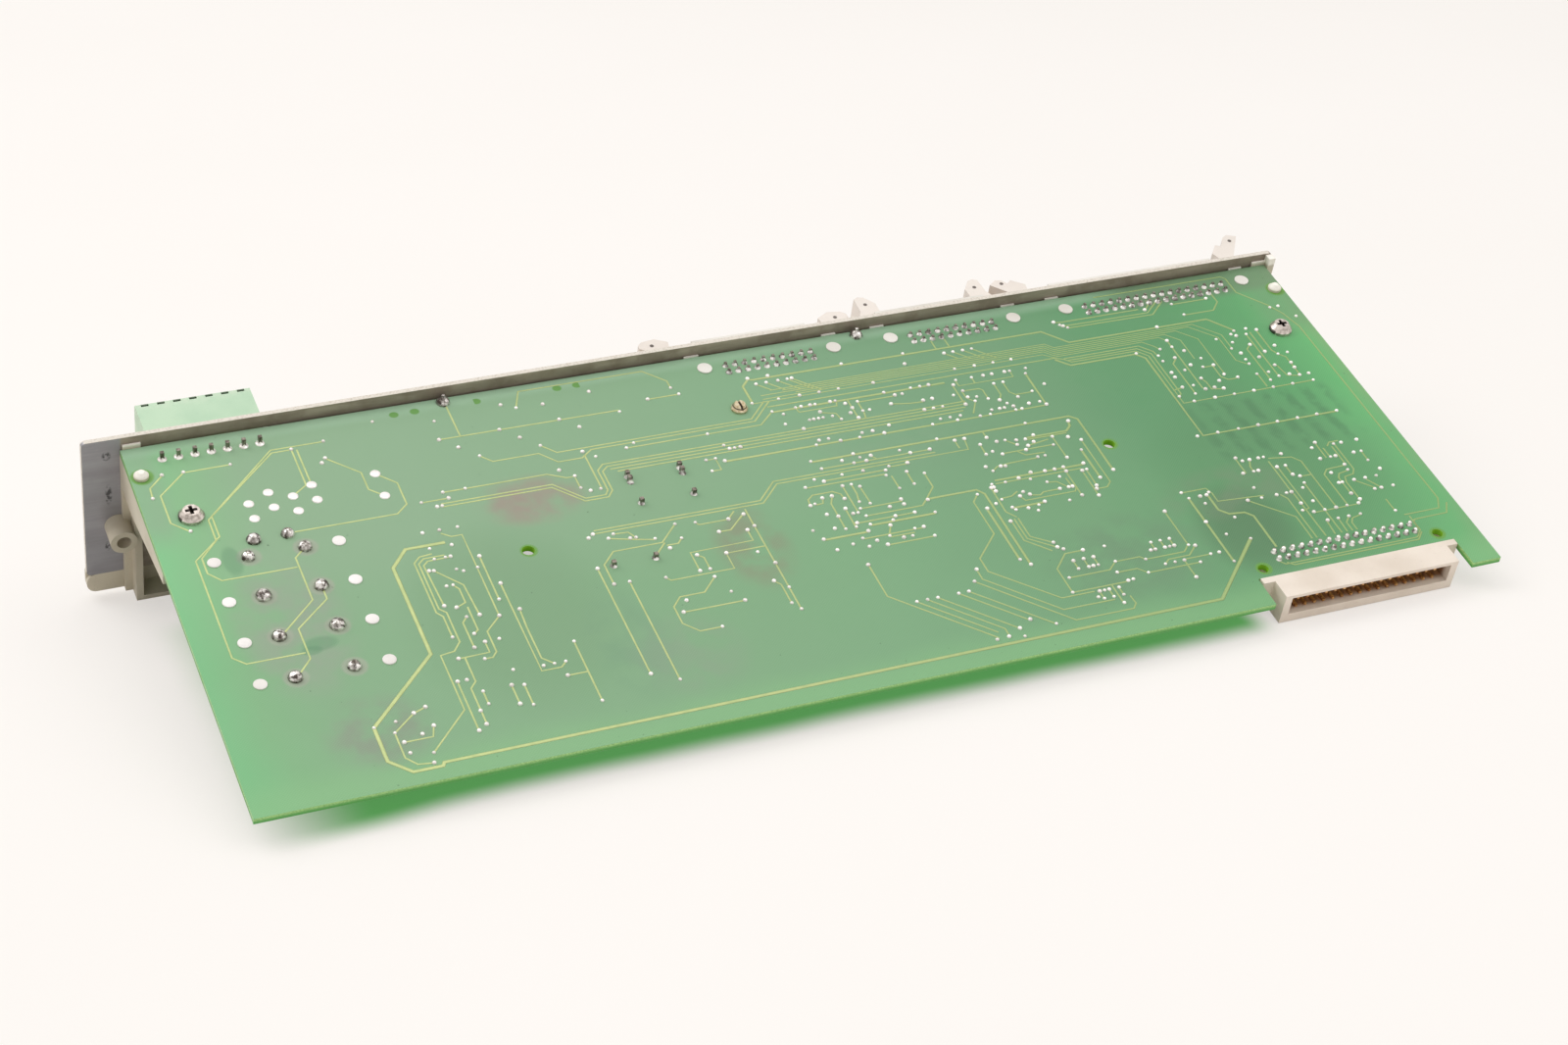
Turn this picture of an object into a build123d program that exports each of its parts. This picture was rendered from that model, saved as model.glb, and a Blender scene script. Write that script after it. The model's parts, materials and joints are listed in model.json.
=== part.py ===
from build123d import *
import math
import os

os.makedirs("parts", exist_ok=True)

# Interface board: a plug-in circuit card with a front panel, seen solder side up.
#
# Every piece is first modelled level, in the card's own frame, in millimetres:
#   X runs along the card, Y towards the front panel, Z out of the solder side,
#   and the origin is the middle of the card's front edge, on the solder face.
# At the end the whole card is laid down as it comes to rest, on the foot of the
# panel's rail and on the rear lower edge of the bus connector.

# ---------------------------------------------------------------- dimensions

# Circuit board
board_length = 305.0
board_depth = 118.0
board_thickness = 1.6
left_edge = -board_length / 2
right_edge = board_length / 2
rear_edge = -board_depth
board_underside = -board_thickness
seat_gap = 0.05                 # a moulding lies this far under the board
component_face = board_underside - seat_gap

# Fits
hole_clearance = 0.15           # on the radius, round pegs and screws
pin_clearance = 0.03            # on each side of a square pin

# Front panel, a flat aluminium plate
panel_gap = 0.6                 # from the board's front edge to the panel
panel_thickness = 1.2
panel_overhang_left = 8.8
panel_overhang_right = 2.2
panel_rise = 3.2                # above the solder face
panel_foot = -38.0              # the plate's lower edge
panel_corner_r = 1.2
cutout_clearance = 0.6          # round each connector

# Rail along the foot of the panel
rail_height = 5.5
rail_lip = 1.2                  # stands in front of the panel
rail_overlap = 2.0              # covers the panel's lower edge in front
rail_corner_r = 2.4
foot_depth = 5.0                # turned back under the card
foot_thickness = 1.3

# Pins in 2.54 mm grids
pitch = 2.54
pin_width = 0.64
pin_tip = 1.1                   # stands out of the solder side

# Latching box headers, right angle
header_row_y = -5.0             # row nearest the panel
header_inset = 56.6             # last header's first column, from the board's end
header_step_b = 49.8            # from each header's first column to the next one's
header_step_a = 50.4
header_c_x = right_edge - header_inset
header_b_x = header_c_x - header_step_b
header_a_x = header_b_x - header_step_a
header_a_columns = 10
header_b_columns = 10
header_c_columns = 17
header_height = 9.1
header_wall = 1.35
header_back_y = -2.0            # rear face of the shroud
header_floor = 1.5              # rear wall that holds the pins
header_mouth_y = 8.0
header_end = 4.0                # last pin to the shroud's end face
header_cavity_end = 3.3         # last pin to the cavity's end
header_ear_end = 9.0            # last pin to the ear's tip
header_ear_y = 6.6
header_pin_y = 6.0              # tip of the contacts in the cavity
header_key_length = 4.5
header_key_depth = 5.0
flange_start = 3.4              # last pin to the mounting flange
flange_depth = 5.6              # behind the shroud
flange_height = 3.0
header_peg_offset = 5.9         # last pin to the board peg, on average
header_peg_shift = 0.5          # both pegs stand this far to the right of it
header_peg_y = -4.8
header_peg_r = 1.85
peg_stand = 0.3                 # pegs stand out of the solder side
lip_length = 3.8                # lips against the board's front edge
lip_thickness = 0.45
lip_rise = 0.3

# Latches
latch_pivot_offset = 6.5        # last pin to the pivot
latch_pivot_y = 3.8
latch_base_r = 2.2
latch_pin_r = 1.0
latch_pin_reach = 0.8           # stands out of each side of the lever
latch_socket_depth = 0.85
latch_pin_clearance = 0.08
latch_side_gap = 0.12
latch_waist = 2.3               # pivot line to the arm's inner edge
latch_hook_start = 4.6          # along the arm, from the pivot
# Outlines of the levers past the pivot, from the hook round to the arm's outer edge:
# across the arm, outwards, and along it from the pivot
short_head = [(-5.0, 5.5), (-5.1, 9.1), (-3.0, 12.0), (-1.4, 12.5), (-0.2, 11.9), (0.0, 7.0)]
middle_head = [(-4.9, 5.8), (-5.3, 9.8), (-3.7, 10.4), (-4.5, 12.2), (-3.9, 13.8), (-1.4, 14.8), (1.0, 5.9)]
long_head = [(-4.9, 5.8), (-5.3, 9.8), (-3.7, 10.4), (-4.5, 14.4), (-3.9, 16.0), (-1.4, 17.0), (1.0, 5.9)]
latch_a_left_open = 61.0        # degrees from closed, as it rests
latch_a_right_open = 63.0
latch_c_left_open = 58.0
latch_c_right_open = 45.0
latch_b_left_open = 0.0
latch_b_right_open = 0.0

# Pluggable terminal block
terminal_inset = 19.9
terminal_x = left_edge + terminal_inset
terminal_poles = 7
terminal_pitch = 3.81
terminal_row_y = -5.3
terminal_length = 27.4
terminal_header_height = 7.25
terminal_header_back = 1.6      # behind the pin row
terminal_header_front = 8.2     # in front of it
terminal_wall = 0.8
terminal_floor = 1.8
terminal_pin_width = 0.9
terminal_pin_tip = 2.2
terminal_pin_front = 6.6        # from the pin row to the contact's tip
plug_shift = 0.9                # the plug's body, to the right of the poles
plug_gap = 0.25
plug_top = -1.1
plug_height = 11.0
plug_reach = 16.5               # outer face of the plug
plug_tongue_depth = 5.4
plug_tongue_height = 5.2
wire_hole = 2.6
wire_hole_depth = 7.5
clamp_hole = 2.8
clamp_hole_depth = 3.4
clamp_screw_r = 1.3
clamp_screw_height = 2.0
clamp_y = 9.4
release_slot_length = 1.8
release_slot_width = 0.8
release_slot_inset = 0.5
release_slot_depth = 1.6

# Bus connector in the rear notch
bus_inset = 35.3
bus_x = right_edge - bus_inset
bus_columns = 16
bus_rear_row_inset = 13.6       # these insets are from the board's rear edge
bus_shell_inset = 1.2
bus_back_inset = 8.5
bus_hole_inset = 11.7
bus_contact_inset = 2.8
bus_rear_row_y = rear_edge + bus_rear_row_inset
bus_shell_length = 48.0
bus_shell_height = 8.5
bus_shell_rise = 0.35           # above the solder face
bus_shell_rear_y = rear_edge + bus_shell_inset
bus_shell_wall = 1.9
bus_shell_top_wall = 0.9
bus_shell_bottom_wall = 2.5
bus_flange_length = 54.0
bus_flange_depth = 1.8
bus_back_y = rear_edge + bus_back_inset
bus_wall = 3.0                  # behind the contacts' cavity
bus_ear_length = 6.6
bus_ear_height = 3.6
bus_hole_spacing = 48.8
bus_hole_y = rear_edge + bus_hole_inset
bus_hole_r = 1.35
bus_contact_rear_y = rear_edge + bus_contact_inset
bus_top_row_z = -2.6
notch_length = 54.8
notch_depth = 8.8

# Panel brackets
bracket_arm_width = 14.0
bracket_arm_neck = 4.6          # beside the end connectors
bracket_arm_shoulder_y = -10.0
bracket_arm_end_y = -29.6
bracket_arm_thickness = 1.9
bracket_web_thickness = 1.75
bracket_web_end_y = -41.0
bracket_web_knee_y = -10.0
bracket_web_drop = 9.5          # at the panel end
bracket_web_tip = 3.0           # at the free end
bracket_post_thickness = 1.7
bracket_rib_depth = 1.6
fixing_boss_offset = 1.0        # outside the board's end
fixing_boss_z = -23.2
fixing_boss_r = 3.15
fixing_bore_r = 1.7
fixing_boss_length = 6.6
bracket_peg_inset = 2.5
bracket_peg_y = -10.2
bracket_peg_r = 1.75
bracket_peg_rise = 1.7
bracket_peg_round = 1.0
bracket_screw_inset_left = 10.1
bracket_screw_inset_right = 9.6
bracket_screw_y = -26.0
bracket_screw_boss_r = 3.4
bracket_screw_boss_drop = 7.5
tab_length = 4.2
tab_inset_left = 0.6
tab_inset_right = -0.4            # runs on to the end wall
tab_rise = 1.2
end_wall_thickness = 1.9
end_wall_depth = 1.5
end_wall_drop = 0.4             # from the panel's upper edge
end_wall_corner_r = 0.8
end_floor_thickness = 1.5
end_floor_depth = 2.6

# Screws
pan_head_r = 2.95
pan_head_height = 2.1
pan_head_rim = 0.7
pan_head_flat_r = 1.9
screw_shank_r = 1.45
screw_length = 7.0
recess_width = 0.85
recess_span = 2.8
recess_depth = 1.3
slot_screw_x = -7.0
slot_screw_y = -21.2
slot_head_r = 2.1
slot_head_height = 1.7
slot_head_rim = 0.5
slot_head_flat_r = 1.3
slot_width = 0.6
slot_depth = 0.9
slot_shank_r = 1.2
slot_screw_length = 7.2
nut_across_flats = 5.0
nut_height = 2.0

# Other holes in the board
guide_inset_left = 79.9
guide_inset_right = 75.3
guide_hole_y = -56.0
guide_holes = [(left_edge + guide_inset_left, guide_hole_y), (right_edge - guide_inset_right, guide_hole_y)]
guide_hole_r = 1.5

# Chokes in a row behind the terminal block
choke_inset = 25.4
choke_x = left_edge + choke_inset
choke_front_y = -42.1
choke_pitch = 13.05
choke_count = 4
choke_length = 31.5
choke_width = 9.6
choke_height = 11.5
choke_base = 2.4
choke_waist = 0.8
choke_edge = 1.0
choke_lead_span = 13.0

# Heavy square leads that stand proud of the solder side
lead_width = 1.0
lead_tip = 1.5
filter_inset = 25.4
filter_lead_span = 7.8
filter_lead_y = -37.0
filter_leads = [
    (left_edge + filter_inset + side * filter_lead_span / 2, filter_lead_y) for side in (-1, 1)
]

# Supply parts
filter_y = -35.4
filter_length = 12.0
filter_width = 3.0
filter_height = 7.5
converter_x = -35.4
converter_y = -43.2
converter_length = 22.0
converter_width = 18.0
converter_height = 10.0
converter_lead_span = 13.1
converter_lead_rows = [5.7, 3.9, -4.1]
film_x = -50.4
film_y = -65.8
film_length = 13.5
film_width = 5.5
film_height = 11.0
film_lead_span = 10.2
relay_inset = 38.8
relay_x = left_edge + relay_inset
relay_y = -26.3
relay_length = 35.5
relay_width = 13.2
relay_height = 15.5
moulded_edge = 0.6

# Radial capacitors: x, y, radius, height
capacitors = [(-84.0, -13.0, 5.0, 16.0), (-57.0, -13.0, 5.0, 16.0)]

# Regulator, lying on its tab under the slotted screw
tab_width = 10.0
tab_thickness = 1.3
tab_hole_inset = 2.8
regulator_tab_depth = 6.4
regulator_body_depth = 9.2
regulator_height = 4.4
regulator_lead_length = 5.0
regulator_lead_width = 0.8

# Dual in-line packages: centres
front_package_inset = 39.5
rear_package_inset = 30.5
package_spots = [
    (13.0, -31.0),
    (37.0, -52.0),
    (60.0, -31.0),
    (12.0, -68.0),
    (right_edge - front_package_inset, -34.0),
    (right_edge - rear_package_inset, -80.0),
]
package_length = 19.3
package_width = 6.4
package_height = 3.5
package_standoff = 0.5
package_pins = 8
package_lead_width = 1.1
package_lead_thickness = 0.35
package_lead_rise = 2.2         # up the body's side

# Row of boxed film capacitors behind the connectors
input_count = 7
input_inset = 46.2
input_x = right_edge - input_inset
input_pitch = 5.72
input_y = -52.7
input_length = 13.5
input_width = 4.4
input_height = 8.5

# Single in-line resistor networks: centres
network_inset = 57.5
network_spots = [(40.0, -14.0), (60.0, -86.0), (right_edge - network_inset, -68.0)]
network_length = 20.0
network_width = 2.4
network_height = 5.0

# -------------------------------------------------------- places worked out

panel_inner_y = panel_gap
panel_outer_y = panel_inner_y + panel_thickness
panel_left = -board_length / 2 - panel_overhang_left
panel_right = board_length / 2 + panel_overhang_right
panel_length = panel_right - panel_left
panel_middle = (panel_left + panel_right) / 2
rail_bottom = panel_foot - rail_height
foot_y = panel_inner_y - panel_gap - foot_depth
post_offset = bracket_web_thickness + bracket_post_thickness / 2
foot_end = board_length / 2 - bracket_web_thickness - bracket_post_thickness

header_top = component_face
header_bottom = header_top - header_height
header_middle_z = (header_top + header_bottom) / 2
upper_contact_z = header_middle_z + pitch / 2
lower_contact_z = header_middle_z - pitch / 2
latch_height = header_height - 2 * header_wall - 2 * latch_side_gap

terminal_top = component_face
terminal_contact_z = terminal_top - terminal_header_height / 2
terminal_front_y = terminal_row_y + terminal_header_front
plug_x = terminal_x + plug_shift
plug_back_y = terminal_front_y + plug_gap
plug_bottom = plug_top - plug_height

bus_top = bus_shell_rise
bus_bottom = bus_top - bus_shell_height
bus_low_row_z = bus_top_row_z - pitch
bus_front_row_y = bus_rear_row_y + pitch

bracket_screw_spots = [
    (left_edge + bracket_screw_inset_left, bracket_screw_y),
    (right_edge - bracket_screw_inset_right, bracket_screw_y),
]
bracket_peg_spots = [
    (left_edge + bracket_peg_inset, bracket_peg_y),
    (right_edge - bracket_peg_inset, bracket_peg_y),
]
choke_ys = [choke_front_y - i * choke_pitch for i in range(choke_count)]
headers = {
    "a": (header_a_x, header_a_columns),
    "b": (header_b_x, header_b_columns),
    "c": (header_c_x, header_c_columns),
}
choke_lead_spots = [
    (choke_x + side * choke_lead_span / 2, y) for y in choke_ys for side in (-1, 1)
]
converter_lead_spots = [
    (converter_x + side * converter_lead_span / 2, converter_y + row)
    for side in (-1, 1)
    for row in converter_lead_rows
]
film_lead_spots = [(film_x + side * film_lead_span / 2, film_y) for side in (-1, 1)]
heavy_lead_spots = choke_lead_spots + filter_leads + converter_lead_spots + film_lead_spots
bus_hole_spots = [(bus_x + side * bus_hole_spacing / 2, bus_hole_y) for side in (-1, 1)]

pieces = []


def finish(piece, label):
    """Name a finished piece and keep it for the laying down."""
    piece.part.label = label
    pieces.append(piece)


# ------------------------------------------------------------ circuit board

with BuildPart() as circuit_board:
    with BuildSketch():
        with Locations((0, rear_edge / 2)):
            Rectangle(board_length, board_depth)
        with Locations((bus_x, rear_edge + notch_depth / 2)):
            Rectangle(notch_length, notch_depth, mode=Mode.SUBTRACT)
        with Locations(*bracket_screw_spots):
            Circle(screw_shank_r + hole_clearance, mode=Mode.SUBTRACT)
        with Locations((slot_screw_x, slot_screw_y)):
            Circle(slot_shank_r + hole_clearance, mode=Mode.SUBTRACT)
        with Locations(*bus_hole_spots):
            Circle(bus_hole_r, mode=Mode.SUBTRACT)
        with Locations(*guide_holes):
            Circle(guide_hole_r, mode=Mode.SUBTRACT)
    extrude(amount=-board_thickness)
finish(circuit_board, "circuit_board")

# -------------------------------------------------------------- front panel

panel_plane = Plane(origin=(0, panel_outer_y, 0), x_dir=(1, 0, 0), z_dir=(0, -1, 0))
with BuildPart() as front_panel:
    with BuildSketch(panel_plane) as panel_outline:
        with Locations((panel_middle, (panel_rise + panel_foot) / 2)):
            RectangleRounded(panel_length, panel_rise - panel_foot, panel_corner_r)
        for first_x, columns in headers.values():
            middle_x = first_x + (columns - 1) * pitch / 2
            cutout_length = (columns - 1) * pitch + 2 * (header_ear_end + cutout_clearance)
            with Locations((middle_x, header_middle_z)):
                Rectangle(cutout_length, header_height + 2 * cutout_clearance, mode=Mode.SUBTRACT)
        with Locations(((terminal_x + plug_x) / 2, (plug_top + plug_bottom) / 2)):
            Rectangle(
                terminal_length + plug_shift + 2 * cutout_clearance,
                plug_height + 2 * cutout_clearance,
                mode=Mode.SUBTRACT,
            )
        with Locations((left_edge - fixing_boss_offset, fixing_boss_z)):
            Circle(fixing_bore_r, mode=Mode.SUBTRACT)
    extrude(amount=panel_thickness)
finish(front_panel, "front_panel")

# The rail holds the plate's lower edge in a step
with BuildPart() as bottom_rail:
    with BuildSketch(panel_plane) as rail_outline:
        with Locations((panel_middle, (panel_foot + rail_bottom) / 2)):
            Rectangle(panel_length, rail_height)
        fillet(rail_outline.vertices().group_by(Axis.Z)[0], rail_corner_r)
    extrude(amount=panel_thickness)
    with BuildSketch(panel_plane) as lip_outline:
        with Locations((panel_middle, (panel_foot + rail_overlap + rail_bottom) / 2)):
            Rectangle(panel_length, rail_height + rail_overlap)
        fillet(lip_outline.vertices().group_by(Axis.Z)[0], rail_corner_r)
    extrude(amount=-rail_lip)
    with BuildSketch(Plane.XY.offset(rail_bottom)):
        with Locations((0, (panel_inner_y + foot_y) / 2)):
            Rectangle(2 * foot_end, panel_inner_y - foot_y)
    extrude(amount=foot_thickness)
finish(bottom_rail, "bottom_rail")

# ----------------------------------------------------------------- brackets


def make_bracket(side):
    """One moulded bracket: arm under the board, and post behind the panel down to the rail.

    side is -1 at the left end, where the fixing boss stands outside the board,
    and 1 at the right end, where an end wall closes the corner instead.
    """
    edge = side * board_length / 2
    web_x = edge - side * bracket_web_thickness / 2
    post_x = edge - side * post_offset
    screw_x, screw_y = bracket_screw_spots[0] if side < 0 else bracket_screw_spots[1]
    tab_inset = tab_inset_left if side < 0 else tab_inset_right
    peg_x = edge - side * bracket_peg_inset
    with BuildPart() as bracket:
        # arm flat against the component side, narrow beside the connectors
        with BuildSketch(Plane.XY.offset(component_face)):
            arm_y = (bracket_arm_shoulder_y + bracket_arm_end_y) / 2
            neck_y = (panel_inner_y + bracket_arm_shoulder_y) / 2
            with Locations((edge - side * bracket_arm_width / 2, arm_y)):
                Rectangle(bracket_arm_width, bracket_arm_shoulder_y - bracket_arm_end_y)
            with Locations((edge - side * bracket_arm_neck / 2, neck_y)):
                Rectangle(bracket_arm_neck, panel_inner_y - bracket_arm_shoulder_y)
        extrude(amount=-bracket_arm_thickness)
        # tapered web under the board's end
        with BuildSketch(Plane.YZ.offset(web_x)):
            with BuildLine():
                Polyline(
                    (panel_inner_y, component_face),
                    (bracket_web_end_y, component_face),
                    (bracket_web_end_y, component_face - bracket_web_tip),
                    (bracket_web_knee_y, component_face - bracket_web_drop),
                    (panel_inner_y, component_face - bracket_web_drop),
                    close=True,
                )
            make_face()
        extrude(amount=bracket_web_thickness / 2, both=True)
        # post down to the rail's underside, and a rib beside it on the panel
        with BuildSketch(Plane.XY.offset(component_face)):
            with Locations((post_x, (panel_inner_y + foot_y) / 2)):
                Rectangle(bracket_post_thickness, panel_inner_y - foot_y)
            with Locations((web_x, panel_inner_y - bracket_rib_depth / 2)):
                Rectangle(bracket_web_thickness, bracket_rib_depth)
        extrude(amount=rail_bottom - component_face)
        # peg through the board, with a rounded head
        with BuildSketch(Plane.XY.offset(component_face)):
            with Locations((peg_x, bracket_peg_y)):
                Circle(bracket_peg_r)
        extrude(amount=bracket_peg_rise - component_face)
        chamfer(bracket.edges().sort_by(Axis.Z)[-1], bracket_peg_round)
        # tab between the board's front edge and the panel
        with BuildSketch(Plane.XY.offset(component_face)):
            with Locations((edge - side * (tab_length / 2 + tab_inset), panel_gap / 2)):
                Rectangle(tab_length, panel_gap - 2 * seat_gap)
        extrude(amount=tab_rise - component_face)
        # boss for the board screw
        with BuildSketch(Plane.XY.offset(component_face)):
            with Locations((screw_x, screw_y)):
                Circle(bracket_screw_boss_r)
        extrude(amount=-bracket_screw_boss_drop)
        if side < 0:
            # fixing boss, bored through
            boss_plane = Plane(
                origin=(edge - fixing_boss_offset, panel_inner_y, fixing_boss_z),
                x_dir=(1, 0, 0),
                z_dir=(0, -1, 0),
            )
            with BuildSketch(boss_plane):
                Circle(fixing_boss_r)
            extrude(amount=fixing_boss_length)
            with BuildSketch(boss_plane):
                Circle(fixing_bore_r)
            extrude(amount=fixing_boss_length, mode=Mode.SUBTRACT)
        else:
            # end wall, joined to the post by a floor
            wall_x = edge + panel_overhang_right - end_wall_thickness / 2
            with BuildSketch(Plane.YZ.offset(wall_x)) as wall_outline:
                with BuildLine():
                    Polyline(
                        (panel_inner_y, panel_rise - end_wall_drop),
                        (-end_wall_depth, panel_rise - end_wall_drop),
                        (-end_wall_depth, rail_bottom),
                        (panel_inner_y, rail_bottom),
                        close=True,
                    )
                make_face()
                fillet(wall_outline.vertices().group_by(Axis.Y)[0], end_wall_corner_r)
            extrude(amount=end_wall_thickness / 2, both=True)
            with BuildSketch(Plane.XY.offset(rail_bottom)):
                with Locations((edge, panel_inner_y - end_floor_depth / 2)):
                    Rectangle(2 * panel_overhang_right - end_wall_thickness, end_floor_depth)
            extrude(amount=end_floor_thickness)
    return bracket


left_bracket = make_bracket(-1)
finish(left_bracket, "left_bracket")
right_bracket = make_bracket(1)
finish(right_bracket, "right_bracket")

# ------------------------------------------------------------------- screws

with BuildPart() as bracket_screws:
    for x, y in bracket_screw_spots:
        with BuildSketch(Plane.XZ.offset(-y)):
            with BuildLine():
                Polyline(
                    (x + pan_head_flat_r, pan_head_height),
                    (x, pan_head_height),
                    (x, -screw_length),
                    (x + screw_shank_r, -screw_length),
                    (x + screw_shank_r, 0),
                    (x + pan_head_r, 0),
                    (x + pan_head_r, pan_head_rim),
                    (x + pan_head_flat_r, pan_head_height),
                )
            make_face()
        revolve(axis=Axis((x, y, 0), (0, 0, 1)))
    with BuildSketch(Plane.XY.offset(pan_head_height)):
        with Locations(*bracket_screw_spots):
            Rectangle(recess_span, recess_width)
            Rectangle(recess_width, recess_span)
    extrude(amount=-recess_depth, mode=Mode.SUBTRACT)
finish(bracket_screws, "bracket_screws")

with BuildPart() as slotted_screw:
    with BuildSketch(Plane.XZ.offset(-slot_screw_y)):
        with BuildLine():
            Polyline(
                (slot_screw_x, slot_head_height),
                (slot_screw_x, -slot_screw_length),
                (slot_screw_x + slot_shank_r, -slot_screw_length),
                (slot_screw_x + slot_shank_r, 0),
                (slot_screw_x + slot_head_r, 0),
                (slot_screw_x + slot_head_r, slot_head_rim),
                (slot_screw_x + slot_head_flat_r, slot_head_height),
                close=True,
            )
        make_face()
    revolve(axis=Axis((slot_screw_x, slot_screw_y, 0), (0, 0, 1)))
    with BuildSketch(Plane.XY.offset(slot_head_height)):
        with Locations((slot_screw_x, slot_screw_y)):
            Rectangle(slot_width, 2 * slot_head_r)
    extrude(amount=-slot_depth, mode=Mode.SUBTRACT)
finish(slotted_screw, "slotted_screw")

nut_top = component_face - tab_thickness
with BuildPart() as screw_nut:
    with BuildSketch(Plane.XY.offset(nut_top)):
        with Locations((slot_screw_x, slot_screw_y)):
            RegularPolygon(nut_across_flats / 2, 6, major_radius=False)
    extrude(amount=-nut_height)
finish(screw_nut, "screw_nut")

# -------------------------------------------------------------- box headers


def make_header_housing(first_x, columns):
    """Right-angle latching shroud, open towards +Y, with a fork for a latch at each end."""
    span = (columns - 1) * pitch
    middle_x = first_x + span / 2
    depth = header_mouth_y - header_back_y
    with BuildPart() as housing:
        with BuildSketch(Plane.XY.offset(header_top)):
            with Locations((middle_x, (header_mouth_y + header_back_y) / 2)):
                Rectangle(span + 2 * header_end, depth)
        extrude(amount=-header_height)
        with BuildSketch(Plane.XY.offset(header_top)) as ears:
            with Locations((middle_x, (header_ear_y + header_back_y) / 2)):
                Rectangle(span + 2 * header_ear_end, header_ear_y - header_back_y)
            fillet(ears.vertices().group_by(Axis.Y)[-1], latch_base_r)
        extrude(amount=-header_height)
        # fork slots for the latches
        fork_length = header_ear_end - header_end
        with BuildSketch(Plane.XY.offset(header_top - header_wall)):
            for end in (-1, 1):
                with Locations(
                    (
                        middle_x + end * (span / 2 + header_end + fork_length / 2),
                        (latch_pivot_y - latch_base_r - latch_side_gap + header_mouth_y) / 2,
                    )
                ):
                    Rectangle(fork_length, header_mouth_y - latch_pivot_y + latch_base_r + latch_side_gap)
        extrude(amount=-(header_height - 2 * header_wall), mode=Mode.SUBTRACT)
        # blind sockets for the latches' pivots, in the faces of the fork
        fork_height = header_height - 2 * header_wall
        with BuildSketch(Plane.XY.offset(header_middle_z)):
            for end in (-1, 1):
                with Locations((middle_x + end * (span / 2 + latch_pivot_offset), latch_pivot_y)):
                    Circle(latch_pin_r + latch_pin_clearance)
        extrude(amount=fork_height / 2 + latch_socket_depth, both=True, mode=Mode.SUBTRACT)
        # cavity for the plug, and its keyway
        cavity_plane = Plane(
            origin=(middle_x, header_mouth_y, header_middle_z), x_dir=(1, 0, 0), z_dir=(0, -1, 0)
        )
        with BuildSketch(cavity_plane):
            Rectangle(span + 2 * header_cavity_end, header_height - 2 * header_wall)
        extrude(amount=depth - header_floor, mode=Mode.SUBTRACT)
        with BuildSketch(cavity_plane):
            with Locations((0, -header_height / 2)):
                Rectangle(header_key_length, 2 * header_wall + pin_clearance)
        extrude(amount=header_key_depth, mode=Mode.SUBTRACT)
        # mounting flanges with board pegs
        with BuildSketch(Plane.XY.offset(header_top)):
            for end in (-1, 1):
                flange_x = middle_x + end * (span / 2 + (flange_start + header_ear_end) / 2)
                with Locations((flange_x, header_back_y - flange_depth / 2)):
                    Rectangle(header_ear_end - flange_start, flange_depth)
        extrude(amount=-flange_height)
        with BuildSketch(Plane.XY.offset(header_top)):
            for end in (-1, 1):
                peg_x = middle_x + header_peg_shift + end * (span / 2 + header_peg_offset)
                with Locations((peg_x, header_peg_y)):
                    Circle(header_peg_r)
        extrude(amount=peg_stand - header_top)
        # lips against the board's front edge
        with BuildSketch(Plane.XY.offset(header_top)):
            for end in (-1, 1):
                lip_x = middle_x + end * (span / 2 + header_ear_end - lip_length / 2)
                with Locations((lip_x, seat_gap + lip_thickness / 2)):
                    Rectangle(lip_length, lip_thickness)
        extrude(amount=lip_rise - header_top)
    return housing


def make_header_pins(first_x, columns):
    """Two rows of square pins that run through the rear wall and bend up into the board."""
    columns_x = [first_x + i * pitch for i in range(columns)]
    half = pin_width / 2
    rows = [(header_row_y, upper_contact_z), (header_row_y - pitch, lower_contact_z)]
    with BuildPart() as pins:
        with BuildSketch(*[Plane.YZ.offset(x) for x in columns_x]):
            for row_y, contact_z in rows:
                with BuildLine():
                    Polyline(
                        (row_y - half, pin_tip),
                        (row_y + half, pin_tip),
                        (row_y + half, contact_z + half),
                        (header_pin_y, contact_z + half),
                        (header_pin_y, contact_z - half),
                        (row_y - half, contact_z - half),
                        close=True,
                    )
                make_face()
        extrude(amount=half, both=True)
    return pins


def make_latch(first_x, columns, end, head, opening):
    """Locking and ejecting lever: end is -1 or 1, head is its outline, opening is in degrees."""
    span = (columns - 1) * pitch
    turn = math.radians(opening)
    lever_plane = Plane(
        origin=(
            first_x + span / 2 + end * (span / 2 + latch_pivot_offset),
            latch_pivot_y,
            header_middle_z - end * latch_height / 2,
        ),
        x_dir=(end * math.cos(turn), -math.sin(turn), 0),
        z_dir=(0, 0, end),
    )
    with BuildPart() as latch:
        with BuildSketch(lever_plane):
            with BuildLine():
                Polyline(
                    (-latch_base_r, 0),
                    (-latch_waist, latch_hook_start),
                    *head,
                    (latch_base_r, latch_base_r),
                    (latch_base_r, 0),
                )
                ThreePointArc((latch_base_r, 0), (0, -latch_base_r), (-latch_base_r, 0))
            make_face()
        extrude(amount=latch_height)
        with BuildSketch(lever_plane.offset(-latch_pin_reach)):
            Circle(latch_pin_r)
        extrude(amount=latch_height + 2 * latch_pin_reach)
    return latch


latch_settings = {
    "latch_a_left": ("a", -1, short_head, latch_a_left_open),
    "latch_a_right": ("a", 1, short_head, latch_a_right_open),
    "latch_b_left": ("b", -1, short_head, latch_b_left_open),
    "latch_b_right": ("b", 1, short_head, latch_b_right_open),
    "latch_c_left": ("c", -1, middle_head, latch_c_left_open),
    "latch_c_right": ("c", 1, long_head, latch_c_right_open),
}
for name, (first_x, columns) in headers.items():
    finish(make_header_housing(first_x, columns), "header_housing_" + name)
    finish(make_header_pins(first_x, columns), "header_pins_" + name)
for name, (header, end, head, opening) in latch_settings.items():
    first_x, columns = headers[header]
    finish(make_latch(first_x, columns, end, head, opening), name)

# ----------------------------------------------------- terminal header, plug

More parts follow.
